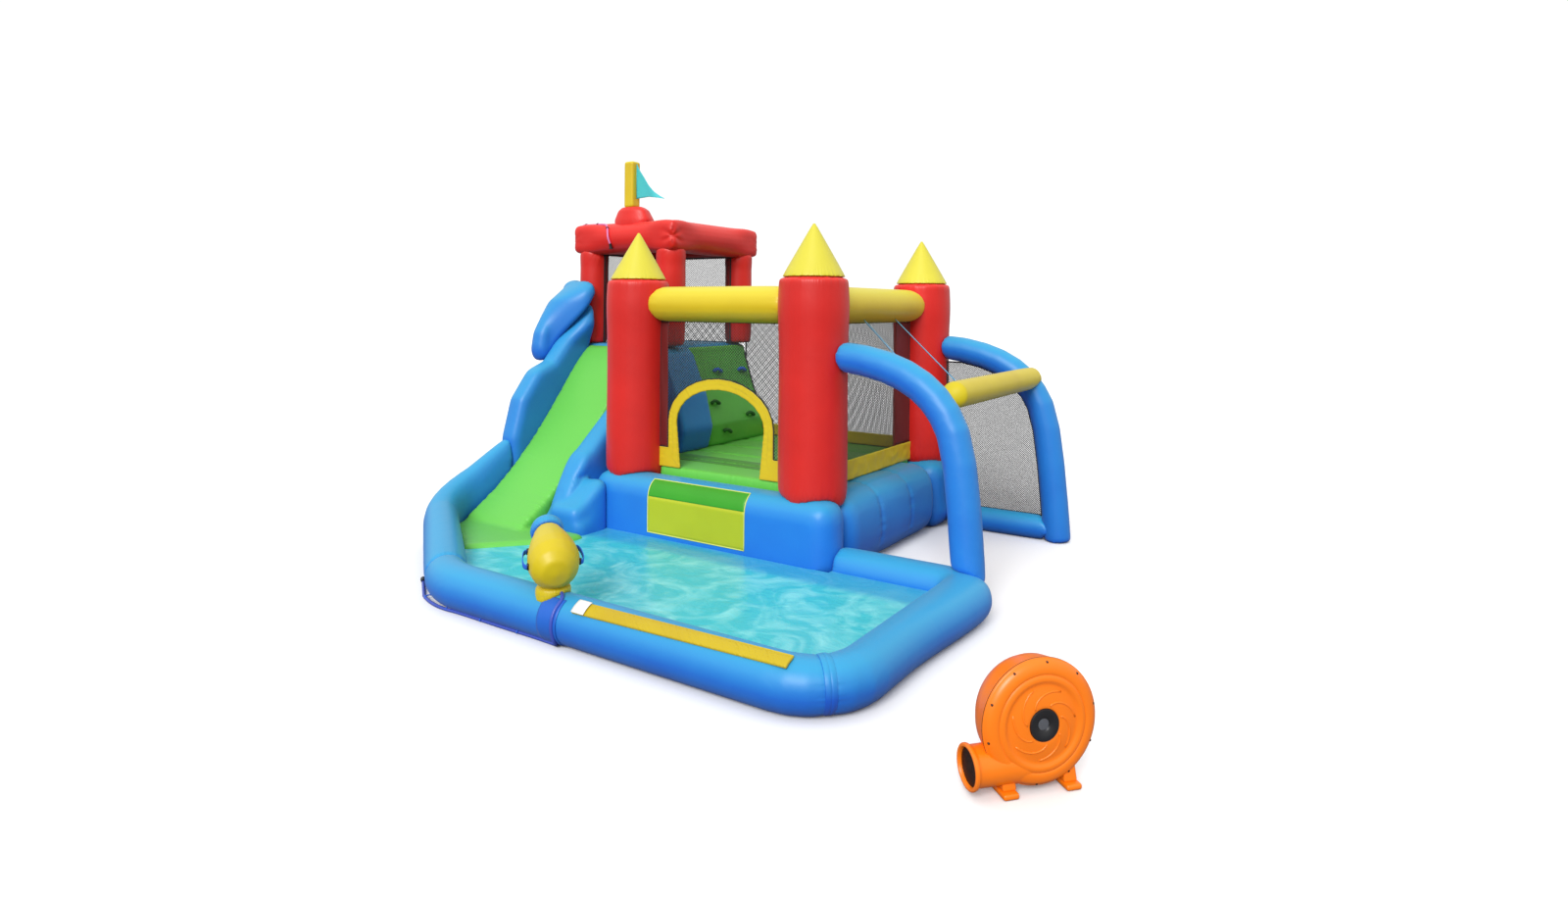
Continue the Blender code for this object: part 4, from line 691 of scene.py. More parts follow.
hose_climb = [
    (0.262, -2.508, 0.2515), (0.286, -2.523, 0.25), (0.303, -2.539, 0.243),
    (0.313, -2.555, 0.233), (0.315, -2.570, 0.223), (0.313, -2.594, 0.199),
    (0.313, -2.611, 0.170), (0.313, -2.619, 0.137), (0.313, -2.619, 0.103),
    (0.313, -2.611, 0.070), (0.313, -2.600, 0.043), (0.305, -2.580, 0.022),
    (0.272, -2.562, 0.010), (0.11, -2.557, 0.009), (-0.104, -2.559, 0.009),
]
hose_ground = [
    (-0.332, -2.558), (-0.52, -2.559), (-0.586, -2.564), (-0.619, -2.564), (-0.653, -2.563),
    (-0.686, -2.56), (-0.72, -2.555), (-0.753, -2.549), (-0.786, -2.541), (-0.819, -2.531),
    (-0.852, -2.520), (-0.884, -2.507), (-0.916, -2.492), (-0.978, -2.452), (-1.057, -2.401),
    (-1.145, -2.344),
]
hose_route = smooth_line(hose_climb + [(x, y, hose_radius) for x, y in hose_ground], 3)
for point in hose_route:
    point.z = max(point.z, hose_radius)
coupling = lathe("hose_coupling", [
    (0.0, -0.014), (0.010, -0.014), (0.012, -0.012), (0.012, 0.010), (0.015, 0.012),
    (0.015, 0.030), (0.012, 0.034), (0.0, 0.034),
], 20, along_axis(hose_route[-1] + Vector((0, 0, 0.006)), (-0.839, 0.544, 0)), "black_abs")
laid_cord("cannon_supply_hose", "cannon_hose", hose_route, hose_radius, "violet_hose")

spray_route = smooth_line([
    (-1.990, -0.198, 2.229), (-2.001, -0.217, 2.263), (-2.007, -0.237, 2.296),
    (-2.002, -0.256, 2.329), (-1.993, -0.272, 2.358), (-1.981, -0.277, 2.379),
    (-1.967, -0.278, 2.395), (-1.953, -0.280, 2.408), (-1.938, -0.281, 2.418),
    (-1.924, -0.281, 2.422), (-1.908, -0.282, 2.423), (-1.890, -0.284, 2.422),
    (-1.865, -0.286, 2.420), (-1.826, -0.286, 2.420), (-1.784, -0.286, 2.420),
    (-1.749, -0.286, 2.420), (-1.716, -0.288, 2.419), (-1.682, -0.293, 2.417),
    (-1.650, -0.301, 2.411), (-1.624, -0.314, 2.399), (-1.603, -0.329, 2.383),
    (-1.588, -0.342, 2.363), (-1.577, -0.352, 2.340), (-1.569, -0.358, 2.316),
    (-1.563, -0.359, 2.291), (-1.556, -0.354, 2.264), (-1.550, -0.346, 2.236)], 2)
spray_head = lathe("spray_head", [
    (0.0, -0.010), (0.010, -0.010), (0.012, 0.0), (0.012, 0.022), (0.016, 0.030),
    (0.016, 0.036), (0.0, 0.036),
], 20, along_axis(spray_route[-1], (0.0, 0.25, -0.97)), "black_abs")
spray_foot = lathe("spray_inlet", [
    (0.0, -0.012), (0.010, -0.012), (0.012, -0.008), (0.012, 0.024), (0.0, 0.024),
], 20, along_axis(spray_route[0], (0.25, 0.35, -0.9)), "black_abs")
laid_cord("roof_spray_hose", "sprinkler_hose", spray_route, hose_radius, "pink_hose")

hoop_route = [Vector(spot) for spot in (
    (0.834, -0.290, 1.634), (1.417, -0.564, 1.212), (1.555, -0.529, 1.212),
    (1.578, -0.380, 1.221), (0.834, 0.210, 1.634))]
laid_cord("hoop_lacing", "hoop_cord", hoop_route, 0.004, "cord")


# Castle


def about_axis(node, grow_at):
    """A shape that widens or narrows an upright node about its own axis by height."""
    low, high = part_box(node)
    middle = (low + high) / 2

    def shape(place):
        grow = grow_at(place.z, low.z)
        return Vector((middle.x + (place.x - middle.x) * grow,
                       middle.y + (place.y - middle.y) * grow, place.z))

    return shape


def column_growth(z, foot):
    """Columns belly a little where the beams meet them and draw in below and at the foot."""
    belly_z, waist_z = 1.72, 1.25
    return (1.0 + 0.03 * bell(z, belly_z, 0.15) - 0.012 * bell(z, waist_z, 0.30)
            - 0.05 * bell(z, foot, 0.05))


for index, corner in enumerate(("front_left", "front_right", "back_right")):
    column = "column_" + corner
    inflated(column, "red", seed=index * 3.1, voxel=0.012, ripple=0.004, reach=0.05,
             shape=about_axis(column, column_growth))
    inflated("cone_" + corner, "lemon", voxel=0.009, rounds=2, swell=0.002, depth=0.001,
             ripple=0.001, reach=0.05, seed=index * 5.3)

base_side_seams = [[Vector((x, y, z)) for x, z in ((1.024, 0.02), (1.024, 0.30), (1.0, 0.46),
                                                   (0.92, 0.525), (castle_side_x, 0.525))]
                   for y in (-0.35, 0.12)]


def rounded_side(place):
    """The goal-side chamber is nearly a lying tube: its outer face draws in above and below."""
    if place.x < castle_side_x:
        return place
    middle_z, half_height = 0.26, 0.262
    most_drawn = 0.40
    height = min(abs(place.z - middle_z) / half_height, 1.0)
    draw = 1.0 - most_drawn * (1.0 - math.sqrt(1.0 - height * height))
    return Vector((castle_side_x + (place.x - castle_side_x) * draw, place.y, place.z))


for index, side in enumerate(("front", "right", "back")):
    to_the_goal = side == "right"
    inflated("base_" + side, "blue", voxel=0.015, rounds=12, seed=index * 2.7, ripple=0.008,
             reach=0.06, depth=0.008, seams=base_side_seams if to_the_goal else (),
             shape=rounded_side if to_the_goal else None)
    inflated("beam_" + side, "yellow", seed=index * 4.1, voxel=0.012, ripple=0.004, reach=0.05)
floor = inflated("bounce_floor", "green", voxel=0.016, rounds=3, reach=0.04, pitch=0.07)
climb = inflated("climbing_wall", "leaf", rounds=8)
inflated("climbing_bolster", "blue", rounds=8)
inflated("entrance_arch", "yellow", voxel=0.004, rounds=1, swell=0.0, depth=0.0, ripple=0.0)

# Tower
inflated("tower_core", "blue", voxel=0.018, rounds=6)


def post_growth(z, _):
    """A post flares just under the roof and runs up inside its tubes."""
    return 1.0 + 0.05 * ease(z, 2.04, 0.11) - 0.40 * ease(z, 2.17, 0.09)


for index, corner in enumerate(("front_left", "front_right", "back_left", "back_right")):
    node = "post_" + corner
    inflated(node, "red", seed=index * 1.7, voxel=0.012, shape=about_axis(node, post_growth))


def roof_corner(place):
    """The roof's tubes are mitred: boxy at each corner, with a star of folds in the middle,
    which is deepest at the corner that looks towards the goal."""
    square = 5.0
    tube_reach, star_reach, star_out = 0.25, 0.22, 0.17
    dent_depth, fold_depth, folds = 0.018, 0.006, 6
    for x, y in ((tower_left, tower_front), (tower_right, tower_front),
                 (tower_right, tower_back), (tower_left, tower_back)):
        way_x = math.copysign(1.0, x - tower_x)
        way_y = math.copysign(1.0, y - tower_y)
        beside = (place.x - x) * way_x
        ahead = (place.y - y) * way_y
        reach = max(beside, ahead)
        rise = place.z - roof_z
        fade = bell(min(beside, ahead, 0.0), 0.0, 0.17)
        if reach > hair and fade > 0.01 and math.hypot(reach, rise) < tube_reach:
            corner = (reach ** square + abs(rise) ** square) ** (1 / square)
            full = (math.hypot(reach, rise) / corner - 1.0) * fade
            place = place + Vector((way_x * max(beside, 0.0) * full,
                                    way_y * max(ahead, 0.0) * full, rise * full))
        out = Vector((way_x, way_y, 0.0)).normalized()
        away = place - Vector((x, y, roof_z - 0.006)) - out * star_out
        if away.length < star_reach:
            turn = math.atan2(away.z, out.cross(up).dot(away))
            depth = 1.0 if (x, y) == (tower_right, tower_front) else 0.25
            dent = dent_depth * bell(away.length, 0.0, 0.035)
            fold = fold_depth * math.cos(folds * turn) * bell(away.length, 0.05, 0.06)
            place = place - out * (dent - fold) * depth
    return place


def on_the_crest(place):
    """The crown sits on the front tube's crest and narrows towards its top."""
    wide = 1.08 - 0.14 * ease(place.z, 2.42, 0.14)
    deep = wide * (0.42 if place.y < tower_front else 1.0)
    return Vector((tower_x + (place.x - tower_x) * wide,
                   tower_front + (place.y - tower_front) * deep, place.z))


inflated("tower_roof", "red", voxel=0.012, rounds=5, ripple=0.005, reach=0.06, pitch=0.07,
         shape=roof_corner, depth=0.003)
inflated("roof_crown", "red", voxel=0.010, rounds=5, ripple=0.003, shape=on_the_crest)
inflated("flag_pole", "yellow", voxel=0.006, rounds=8, swell=0.003, ripple=0.002, reach=0.02)

# Slide
inflated("slide_bed", "green", voxel=0.015, rounds=6)
lobe_start_y, lobe_span = -0.66, 0.24


def wall_lobe(place):
    """The wall's upper end swells in over the lane."""
    near_post = ease(place.y, lobe_start_y, lobe_span)
    inward = 0.07 * near_post * ease(place.z, 1.36, 0.22) * share_of(place.x, -1.90, 0.12)
    return place + Vector((inward, 0.0, 0.0))


def fin_lobe(place):
    """The fin's upper end leans in over the wall, in front of the tower's post."""
    wall_slope = 1.49
    wall_top = 1.775 + wall_slope * (place.y + 0.336)
    above = ease(place.z, wall_top - 0.02, 0.09)
    ahead = ease(place.y, -0.350, -0.03) * ease(place.y, lobe_start_y, lobe_span)
    lean = above * ahead * share_of(place.x, -2.10, 0.15)
    return place + Vector((0.245 * lean, 0.0, 0.045 * lean))


def bumper_nose(place):
    """The right wall's foot runs down and out into a rounded nose."""
    wall_x = -0.98
    ahead = ease(place.y, -1.10, -0.27)
    drop = 0.17 * ahead * ease(place.z, 0.10, 0.36)
    slim = 1.0 - 0.16 * ahead * ease(place.z, 0.15, 0.30)
    return Vector((wall_x + (place.x - wall_x) * slim, place.y, place.z - drop))


inflated("slide_left_wall", "blue", voxel=0.013, rounds=22, shape=wall_lobe, swell=0.010)
inflated("slide_right_wall", "blue", voxel=0.013, rounds=30, swell=0.014, shape=bumper_nose)
inflated("slide_fin", "blue", voxel=0.012, rounds=26, ripple=0.005, reach=0.06, swell=0.012,
         shape=fin_lobe)


# Pool


def full_corner(place):
    """The right tube is fuller on its outer side, towards the goal's leg."""
    full = ease(place.y, -1.95, 0.85) * ease(place.x, 1.80, 0.12)
    return place + Vector((0.055 * full, 0.0, 0.0))


for index, tube in enumerate(("pool_left_arm", "pool_front_tube", "pool_right_tube")):
    inflated(tube, "blue", voxel=0.013, swell=0.006, seed=index * 7.7, ripple=0.005, reach=0.05,
             shape=full_corner if tube == "pool_right_tube" else None)
lathe("pool_seam_tape", [
    (0.100, -0.030), (0.1185, -0.026), (0.1225, -0.012), (0.1222, -0.002), (0.1210, 0.0),
    (0.1222, 0.002), (0.1225, 0.012), (0.1185, 0.026), (0.100, 0.030),
], 72, along_axis((1.764, -2.408, 0.1225), (0.7071, 0.7071, 0.0)), "blue", ring=True)


def on_edge_tube(x, angle, reach):
    """A point by the pool's front tube, at an angle above the level of its middle."""
    return (x, edge_tube_y - reach * math.cos(angle), edge_tube_z + reach * math.sin(angle))


def along_the_edge(place):
    """The pad runs on to the cannon's strap, and winds a little inwards to the right."""
    left, right = 0.42, 1.67
    middle = math.radians(60.5)
    x = right - (right - place.x) * 1.065
    across, rise = edge_tube_y - place.y, place.z - edge_tube_z
    angle = middle + (math.atan2(rise, across) - middle) * 0.92
    angle += math.radians(12.0 * (x - left) / (right - left) - 4.0)
    return Vector(on_edge_tube(x, angle, math.hypot(across, rise)))


inflated("entry_pad", "pad", voxel=0.005, rounds=1, swell=0.0, ripple=0.0, depth=0.0,
         shape=along_the_edge)

# Cannon and goal
inflated("cannon_post", "pad", voxel=0.008, ripple=0.002, reach=0.02)
inflated("cannon_body", "pad", "cannon", voxel=0.007, ripple=0.004, reach=0.03, pitch=0.02,
         swell=0.012)
inflated("cannon_nozzle", "blue", "cannon", voxel=0.005, rounds=8, swell=0.001, ripple=0.001,
         reach=0.01)
for tube, seed in (("goal_front_arch", 0.0), ("goal_back_arch", 6.1), ("goal_base_tube", 1.0)):
    inflated(tube, "blue", voxel=0.011, rounds=12, seed=seed, ripple=0.004, reach=0.04)


def tucked_end(place):
    """The crossbar's near end narrows and tucks in behind the front arch."""
    tuck = ease(place.y, -0.70, -0.10)
    slim, shift = 1.0 - 0.35 * tuck, 0.04 * tuck
    return Vector((crossbar_x + (place.x - crossbar_x) * slim - shift, place.y,
                   crossbar_z + (place.z - crossbar_z) * slim - shift))


inflated("goal_crossbar", "pad", voxel=0.010, ripple=0.004, reach=0.04, shape=tucked_end)

# Nets
front_half = 0.538
door_half = 0.455
right_of_door = [
    (front_half, net_top), (front_half, entrance_foot), (door_half, entrance_foot),
    (door_half, 0.893), (0.444, 0.965), (0.410, 1.033), (0.356, 1.095), (0.284, 1.146),
    (0.198, 1.185), (0.102, 1.208),
]
door_crown = (0.0, 1.217)
front_outline = [*right_of_door, door_crown, *[(-x, z) for x, z in reversed(right_of_door)]]
goal_outline = [
    (0.982, 0.520), (1.020, 0.520), (1.020, 0.176), (1.745, 0.176), (1.737, 0.275),
    (1.711, 0.559), (1.678, 0.802), (1.636, 0.964), (1.594, 1.041), (1.536, 1.111),
    (1.462, 1.171), (1.369, 1.222), (1.254, 1.263), (1.115, 1.293), (0.982, 1.293),
]


def rectangle(low_a, low_b, high_a, high_b):
    return [(low_a, low_b), (high_a, low_b), (high_a, high_b), (low_a, high_b)]


# A net's strands: their spacing and half their width
fine_knit = (0.0150, 0.0015)
dense_knit = (0.0100, 0.0019)
for name, outline, axis, place, holders, knit in (
    ("net_front", front_outline, "y", -net_y, ["column_front_left", "column_front_right"],
     fine_knit),
    ("net_right", rectangle(-0.628, net_foot, 0.628, net_top), "x", castle_side_x,
     ["column_front_right", "column_back_right"], fine_knit),
    ("net_back", rectangle(-0.989, net_foot, front_half, net_top), "y", net_y,
     ["column_back_right", "post_back_right"], fine_knit),
    ("goal_net", goal_outline, "y", net_y, ["goal_back_arch", "goal_base_tube"], dense_knit),
    ("tower_net", rectangle(-1.75, 1.396, tower_right, 2.166), "y", 0.602,
     ["post_back_left", "post_back_right"], fine_knit),
    ("tower_side_net", rectangle(tower_front, 1.396, 0.602, 2.166), "x", -1.744,
     ["post_back_left", "post_front_left"], fine_knit),
):
    net = knitted_net(name + "_knit", outline, axis, place, holders, *knit)
    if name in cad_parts:
        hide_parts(name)


# Cloth and trim laid on the chambers


def fabric(name, place, across, along, key):
    piece = sheet_grid(name, place, across, along, cloth_thickness, key)


front_tree = solid_tree(bpy.data.objects["base_front_skin"])
panel_left, panel_width, panel_height = -0.41, 0.82, 0.39


def on_base_front(u, share):
    """A point of the panel: on the front chamber, from near the water up over its top edge."""
    angle = math.radians(-23 + 84 * share)
    ray = Vector((0.0, -math.cos(angle), math.sin(angle)))
    x = panel_left + panel_width * u
    return front_tree.ray_cast(Vector((x, -0.90, 0.25)), ray)[0] + ray * 0.0025


for name, low, high, key in (("panel_lower", 0.0, 0.70, "lime"),
                             ("panel_upper", 0.70, 1.0, "bright_leaf")):
    fabric(name, lambda u, v: on_base_front(u, low + (high - low) * v), 40, 14, key)
edge_line = ([(i / 30, 0.0) for i in range(31)] + [(1.0, j / 12) for j in range(1, 13)]
             + [(1 - i / 30, 1.0) for i in range(1, 31)] + [(0.0, 1 - j / 12) for j in range(1, 12)])
curve_tube("panel_binding", [on_base_front(u, v) for u, v in edge_line], 0.004, "straw",
           closed=True)


def flutter(u, v, size, waves, seed):
    return size * noise.noise(Vector((u * waves, v * 3, seed)))


hem_length, hem_height = 1.252, 0.140
fabric("net_hem_right", lambda u, v: (0.7715 + flutter(u, v, 0.005, 22, 0.5),
                                      -opening_half + hem_length * u, 0.528 + hem_height * v),
       120, 12, "yellow")
back_hem_length, back_hem_height = 1.52, 0.10
fabric("net_hem_back", lambda u, v: (-0.985 + back_hem_length * u,
                                     0.8425 + flutter(u, v, 0.004, 26, 4.5),
                                     0.566 + back_hem_height * v),
       120, 8, "yellow")
# The flaps beside the columns are red cloth given a dark red: painted shade, as they hang in shadow
# behind the nets.
for name, axis, place, low, high, foot in (
    ("flap_front_left", "y", -0.8535, -0.536, -0.462, 0.706),
    ("flap_right_front", "x", 0.764, -opening_half, -0.44, 0.675),
    ("flap_right_back", "x", 0.764, 0.36, opening_half, 0.675),
):
    def strip(u, v):
        run = low + (high - low) * u
        z = foot + (flap_top - foot) * v
        wave = place + 0.002 * math.sin(9 * v + 4 * u)
        return (wave, run, z) if axis == "x" else (run, wave, z)

    fabric(name, strip, 8, 50, "maroon")


def on_front_tube(x, degrees, lift):
    return on_edge_tube(x, math.radians(degrees), edge_tube_radius + lift)


fabric("cannon_apron", lambda u, v: on_front_tube(0.20 + 0.14 * u, -62 + 128 * v, 0.001),
       10, 30, "apron")
fabric("pad_blank", lambda u, v: on_front_tube(0.428 + 0.085 * u, 41 + 31 * v, 0.0175),
       6, 12, "white")

# Ties: webbing loops over the hose on the ground, and bands round the hose on the roof
arm_corner = Vector((-0.7, -1.89, 0.0))
for index, (x, y) in enumerate(((-0.86, -2.508), (-0.60, -2.555), (-0.30, -2.557),
                                (0.00, -2.557))):
    middle = Vector((x, y, 0.0))
    out = (middle - arm_corner).normalized() if x < arm_corner.x else Vector((0, -1, 0))
    loop = [middle + out * reach + up * height for reach, height in (
        (-0.030, 0.016), (-0.016, 0.0215), (0.0, 0.0225), (0.012, 0.018), (0.016, 0.006))]
    curve_tube("hose_tie_%d" % index, smooth_line(loop, 4), 0.0035, "blue_strap")
for index, (x, y, z, direction) in enumerate(((-1.90, -0.283, 2.422, (1, 0, 0)),
                                              (-1.76, -0.286, 2.420, (1, 0, 0)),
                                              (-1.60, -0.332, 2.380, (0.45, -0.45, -0.75)))):
    lathe("spray_hose_tie_%d" % index, [(0.0095, -0.006), (0.013, -0.005), (0.013, 0.005),
                                        (0.0095, 0.006)], 20, along_axis((x, y, z), direction),
          "maroon", ring=True)

# A darker green sheet laid flat across the floor, painted shade of the sunk channel there, and the
# climbing wall's bound edge and holds
floor_tree = solid_tree(floor)
channel_length, channel_width = 1.70, 0.22


def on_floor(u, v):
    x, y = -0.97 + channel_length * u, -0.60 + channel_width * v
    return Vector((x, y, floor_tree.ray_cast(Vector((x, y, 1.0)), -up)[0].z + 0.0015))


fabric("floor_channel_shade", on_floor, 60, 8, "channel")
wall_tree = solid_tree(climb)
to_wall = Vector((-1.0, 0.0, -0.15)).normalized()


def on_wall(y, z, lift):
    """A point at a lift above the climbing wall."""
    spot, normal, _, _ = wall_tree.ray_cast(Vector((-0.3, y, z)), to_wall)
    return spot + normal * lift


edge_line = [on_wall(0.745, 0.70 + 0.70 * index / 23, 0.003) for index in range(24)]
curve_tube("climbing_wall_binding", smooth_line(edge_line, 2), 0.007, "mesh")
for index, (y, z, key) in enumerate(((0.27, 1.25, "blue_strap"), (0.46, 1.12, "green_strap"),
                                     (0.55, 0.84, "green_strap"), (0.12, 0.98, "green_strap"),
                                     (0.20, 0.74, "green_strap"), (0.62, 1.24, "blue_strap"))):
    turns = [math.pi * step / 8 for step in range(9)]
    spots = [on_wall(y - 0.040 * math.cos(turn), z + 0.012 * math.sin(turn * 2),
                     0.006 + 0.034 * math.sin(turn)) for turn in turns]
    curve_tube("climbing_hold_%d" % index, smooth_line(spots, 2), 0.014, key)


# Pennant


def level(points, share):
    """Read a height off a line of (share, height) points."""
    for (a, low), (b, high) in zip(points, points[1:]):
        if share <= b:
            return low + (high - low) * (share - a) / (b - a)
    return points[-1][1]


flag_x, flag_foot, flag_length, flag_height = -1.3745, 2.626, 0.30, 0.292


def flag_cloth(u, v):
    top = level(((0.0, 1.0), (0.12, 0.80), (0.28, 0.60), (0.46, 0.36), (0.66, 0.16),
                 (0.85, 0.03), (1.0, -0.045)), u)
    foot = level(((0.0, 0.0), (0.45, 0.03), (0.8, -0.02), (1.0, -0.055)), u)
    wave = 0.010 * u * math.sin(7 * u + 1.5 * v)
    return (flag_x + flag_length * u, tower_front + wave,
            flag_foot + flag_height * (foot + (top - foot) * v))


pennant = sheet_grid("pennant_cloth", flag_cloth, 30, 14, cloth_thickness, "cyan", "flag")
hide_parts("pennant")
curve_tube("pennant_hoist", [(flag_x + hair, tower_front, flag_foot + rise)
                             for rise in (hair, flag_height)], 0.0035, "cyan", "flag")

# Cannon handles
seat = (Matrix.Translation((0.183, edge_tube_y, 0.275))
        @ Matrix.Rotation(math.radians(55), 4, "Z") @ Matrix.Translation((0.0, -0.13, 0.088))
        @ Matrix.Rotation(math.radians(-75), 4, "X"))
for side, label in ((-1, "left"), (1, "right")):
    line = smooth_line([(side * out, 0, height) for out, height in (
        (0.122, 0.100), (0.142, 0.098), (0.152, 0.122), (0.152, 0.168), (0.147, 0.212),
        (0.134, 0.240), (0.110, 0.244))], 6)

    def strap(u, v):
        spot = line[min(int(v * (len(line) - 1) + 0.5), len(line) - 1)]
        return seat @ (spot + Vector((0, 0.026 * (u - 0.5), 0)))

    handle = sheet_grid("cannon_strap_" + label, strap, 4, len(line) - 1, 0.004, "blue_strap",
                        "cannon")
    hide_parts("cannon_handle_" + label)
    for end, spot in (("low", line[0]), ("high", line[-1])):
        curve_tube("cannon_strap_%s_%s_end" % (label, end),
                   [seat @ (spot + Vector((side * 0.008, across, 0))) for across in (-0.016, 0.016)],
                   0.008, "black_abs", "cannon")

# Inlet sleeve and liner
sleeve_place = Matrix.Translation((0.20, 1.1115, 0.10)) @ Matrix.Rotation(math.radians(-90), 4, "X")
sleeve = lathe("inlet_sleeve_cloth", [
    (0.098, 0.0), (0.099, 0.05), (0.0985, 0.18), (0.097, 0.26), (0.0925, 0.335), (0.0915, 0.35),
    (0.096, 0.375), (0.0985, 0.415), (0.0965, 0.415), (0.094, 0.377), (0.0895, 0.35),
    (0.0905, 0.333), (0.095, 0.258), (0.0965, 0.18), (0.097, 0.05), (0.096, 0.0),
], 48, sleeve_place, "blue", ring=True)
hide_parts("inlet_sleeve")
lathe("sleeve_strap", [
    (0.0928, 0.330), (0.0945, 0.330), (0.0935, 0.3425), (0.0945, 0.355), (0.0928, 0.355),
], 48, sleeve_place, "blue_strap", ring=True)

liner = node_copy("pool_liner_sheet", "pool_liner")
for vert in liner.data.vertices:
    vert.co.z *= 0.9
liner.data.update()
far_from_seams(liner)
settle(liner, "liner", smooth=False)
low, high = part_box("pool_liner")
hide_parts("pool_liner")

# Blower
blower = Matrix.Translation((2.693, -2.484, 0)) @ Matrix.Rotation(math.radians(48), 4, "Z")
axle = blower @ Matrix.Translation((0, 0, axle_height)) @ Matrix.Rotation(math.radians(90), 4, "X")
outlet = (blower @ Matrix.Translation((0, 0.036, 0.10))
          @ Matrix.Rotation(math.radians(-90), 4, "Y"))

front_shell = lathe("blower_front_cover", [
    (0.2262, 0.0002), (0.2262, 0.0050), (0.2235, 0.0062), (0.2215, 0.0088), (0.2205, 0.0115),
    (0.2120, 0.0200), (0.2030, 0.0255), (0.1900, 0.0285), (0.1800, 0.0292), (0.1755, 0.0280),
    (0.1725, 0.0262), (0.1695, 0.0282), (0.1650, 0.0308), (0.1560, 0.0322), (0.1500, 0.0312),
    (0.1440, 0.0270), (0.1380, 0.0252), (0.1310, 0.0258), (0.1150, 0.0300), (0.0900, 0.0345),
    (0.0700, 0.0362), (0.0620, 0.0362), (0.0590, 0.0350), (0.0582, 0.0320), (0.0582, 0.0150),
    (0.0700, 0.0200), (0.1300, 0.0200), (0.1950, 0.0160), (0.2120, 0.0080), (0.2140, 0.0002),
], 144, axle, "orange_abs", ring=True)
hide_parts("blower_front_shell")
rear_shell = lathe("blower_rear_cover", [
    (0.2262, -0.0002), (0.2262, -0.0050), (0.2240, -0.0075), (0.2200, -0.0085),
    (0.2180, -0.0130), (0.2140, -0.0500), (0.2050, -0.0900), (0.1900, -0.1180),
    (0.1740, -0.1310), (0.1600, -0.1350), (0.0800, -0.1350), (0.0640, -0.1350),
    (0.0625, -0.1340), (0.0625, -0.1300), (0.1580, -0.1300), (0.1700, -0.1260),
    (0.1850, -0.1140), (0.1990, -0.0880), (0.2080, -0.0500), (0.2120, -0.0130),
    (0.2120, -0.0002),
], 144, axle, "orange_abs", ring=True)
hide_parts("blower_rear_shell")
lathe("blower_parting_line", [(0.2268, -0.0012), (0.2268, 0.0012), (0.2255, 0.0012),
                              (0.2255, -0.0012)], 144, axle, "dark_steel", ring=True)

# The volute swells out of the housing and ends in a short flared outlet. Each section is how far
# out it lies, half its height and depth, and how far its middle is lifted and set back.
volute_sections = [
    (-0.100, 0.030, 0.050, -0.040, 0.010), (-0.060, 0.046, 0.058, -0.034, 0.010),
    (0.000, 0.060, 0.064, -0.022, 0.006), (0.060, 0.068, 0.068, -0.008, 0.002),
    (0.120, 0.0715, 0.0705, 0.0, 0.0),
    *[(out, radius, radius, 0.0, 0.0) for out, radius in (
        (0.200, 0.0705), (0.238, 0.0705), (0.247, 0.0725), (0.251, 0.0770), (0.256, 0.0790),
        (0.263, 0.0785), (0.2665, 0.0750), (0.2665, 0.0680), (0.263, 0.0650), (0.252, 0.0642),
        (0.110, 0.0640))],
]
volute_steps = 64
joined_rings("blower_volute", [
    outlet @ (Matrix.Diagonal((tall, deep, 1.0)) @ ring_point(volute_steps, step, 1.0, out)
              + Vector((lift, back, 0.0)))
    for step in range(volute_steps) for out, tall, deep, lift, back in volute_sections
], len(volute_sections), volute_steps, "orange_abs", False, 40)


def wire_disc(name, radius, spacing, wire, place, key):
    """A woven wire disc that guards an opening."""
    points = []
    faces = []
    count = int(radius / spacing)
    for turn in (0, 1):
        for index in range(-count, count + 1):
            off = index * spacing
            half = math.sqrt(max(radius * radius - off * off, 0.0))
            if half > 2 * spacing:
                ends = [(off, -half), (off, half)] if turn else [(-half, off), (half, off)]
                start, end = [Vector((a, b, 0.0)) for a, b in ends]
                side = Vector((1, 0, 0)) if turn else Vector((0, 1, 0))
                box_rod(points, faces, start, end, side * wire, up * wire)
    settle(from_points(name, [place @ point for point in points], faces), key, smooth=False)


wire_disc("outlet_mesh", 0.0645, 0.006, 0.0012, outlet @ Matrix.Translation((0, 0, 0.252)),
          "dark_steel")
lathe("outlet_shadow", [(0.0, 0.232), (0.0638, 0.232), (0.0638, 0.236), (0.0, 0.236)], 48, outlet,
      "brown")
guard = lathe("intake_cone", [
    (0.0578, 0.0150), (0.0578, 0.0365), (0.0560, 0.0395), (0.0500, 0.0405), (0.0400, 0.0385),
    (0.0280, 0.0345), (0.0225, 0.0315), (0.0212, 0.0300), (0.0212, 0.0180), (0.0300, 0.0150),
], 96, axle, "black_abs", ring=True)
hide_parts("blower_intake_guard")
wire_disc("intake_mesh", 0.0213, 0.0034, 0.0008, axle @ Matrix.Translation((0, 0, 0.0285)),
          "steel")
lathe("intake_shadow", [(0.0, 0.020), (0.0211, 0.020), (0.0211, 0.023), (0.0, 0.023)], 32, axle,
      "steel")
cover_slope = ((0.062, 0.0364), (0.07, 0.0362), (0.09, 0.0345), (0.115, 0.0300), (0.131, 0.0258))
for index in range(7):
    rib = []
    for share in (step / 14 for step in range(15)):
        radius = 0.068 + 0.060 * share
        turn = math.tau * index / 7 + 0.35 - 1.15 * share ** 1.4
        rib.append(axle @ Vector((radius * math.cos(turn), radius * math.sin(turn),
                                  level(cover_slope, radius) - 0.0008)))
    curve_tube("swirl_rib_%d" % index, rib, 0.0040, "orange_abs")
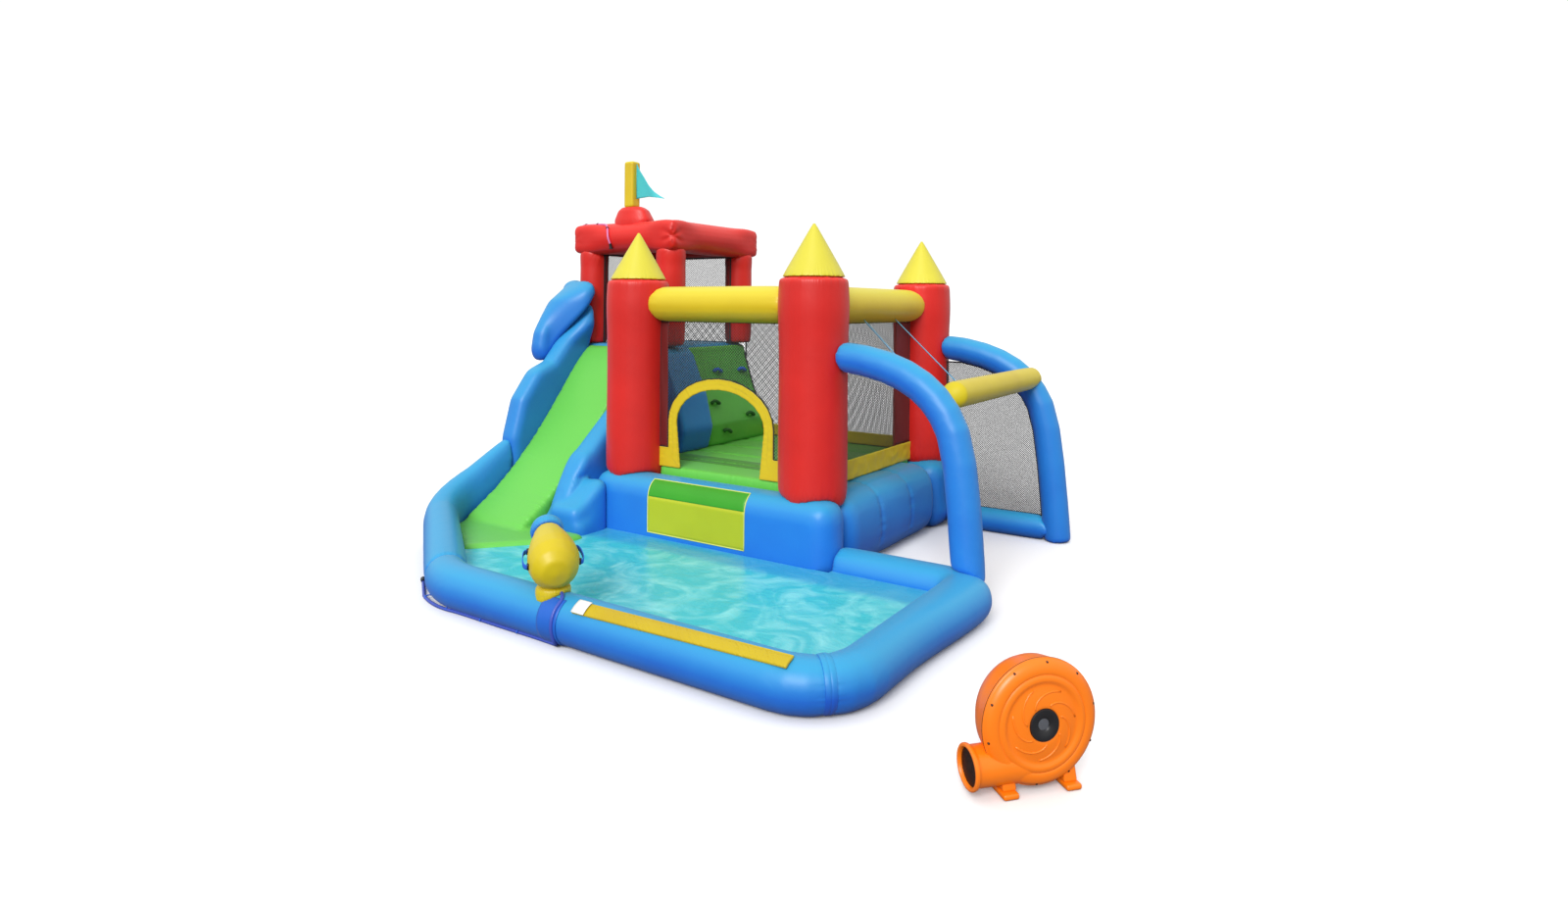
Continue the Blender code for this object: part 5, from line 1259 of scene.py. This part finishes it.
for index in range(10):
    spot = axle @ Matrix.Translation(ring_point(10, index + 0.35, 0.2135, 0.0))
    lathe("cover_screw_%d" % index, [(0.0, 0.0205), (0.0032, 0.0205), (0.0045, 0.0195),
                                     (0.0048, 0.0120), (0.0, 0.0120)], 16, spot, "dark_steel")
for side, label in ((-1, "left"), (1, "right")):
    for part, size, place, edge, flare in (
        ("foot", (0.062, 0.155, 0.022), (side * 0.125, 0.0425, 0.011), 0.009, (1.0, 1.0)),
        ("rib", (0.044, 0.088, 0.085), (side * 0.122, 0.044, 0.0635), 0.008, (1.25, 1.35)),
    ):
        bpy.ops.mesh.primitive_cube_add(size=1.0)
        block = bpy.context.active_object
        block.name = "blower_%s_%s" % (part, label)
        block.data.transform(Matrix.Diagonal((*size, 1.0)))
        for vert in block.data.vertices:
            if vert.co.z < 0:
                vert.co.x *= flare[0]
                vert.co.y *= flare[1]
        block.data.transform(blower @ Matrix.Translation(place))
        apply_step(block, "BEVEL", width=edge, segments=4, limit_method="ANGLE")
        settle(block, "orange_abs")
        block.data.set_sharp_from_angle(angle=math.radians(40))

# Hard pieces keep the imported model's own shape
for node, key in (("hoop_ring", "black_abs"), ("blower_impeller", "black_abs"),
                  ("blower_switch", "black_abs"), ("blower_cable_gland", "black_abs"),
                  ("blower_motor", "steel")):
    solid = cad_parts[node]
    solid.data.materials.clear()
    solid.data.materials.append(finish[key][0])
    edge = solid.modifiers.new("edge", "BEVEL")
    edge.width = 0.0008
    edge.segments = 2
    edge.limit_method = "ANGLE"


def pool_water():
    """Water in the pool, which isn't part of the object."""
    water_z = 0.125
    shore = [(-1.80, -1.12), (-1.90, -1.30), (-1.90, -1.72), (-1.78, -1.90), (-0.95, -2.42),
             (-0.70, -2.47), (1.78, -2.47), (1.83, -2.42), (1.83, -1.00), (1.78, -0.96),
             (1.03, -0.96), (1.03, -1.105), (-1.17, -1.105)]
    water = from_points("pool_water", [(x, y, water_z) for x, y in shore],
                        [tuple(range(len(shore)))])
    material, tree, shader = new_material("pool_water")
    place = own_place(tree)
    swirl = speckle(tree, place, 3.2, 4.0, [("Distortion", 2.6)])
    tint = blend(tree, remap(tree, swirl, 0.42, 0.72, 0.0, 1.0), linear("#43C3CE"),
                 linear("#84DFE2"))
    depth = add(tree, "ShaderNodeSeparateXYZ", [("Vector", place)]).outputs["Y"]
    wall = remap(tree, depth, -1.38, -1.27, 0.0, 0.75, "SMOOTHSTEP")
    shaded = blend(tree, wall, tint, linear("#3A9CCB"))
    ripple = speckle(tree, place, 11.0, 3.0, [("Distortion", 1.0)])
    dress(tree, shader, [("Base Color", shaded), ("Normal", relief(tree, ripple, 0.30, 0.02))],
          Roughness=0.28, IOR=1.33)
    water.data.materials.append(material)


pool_water()
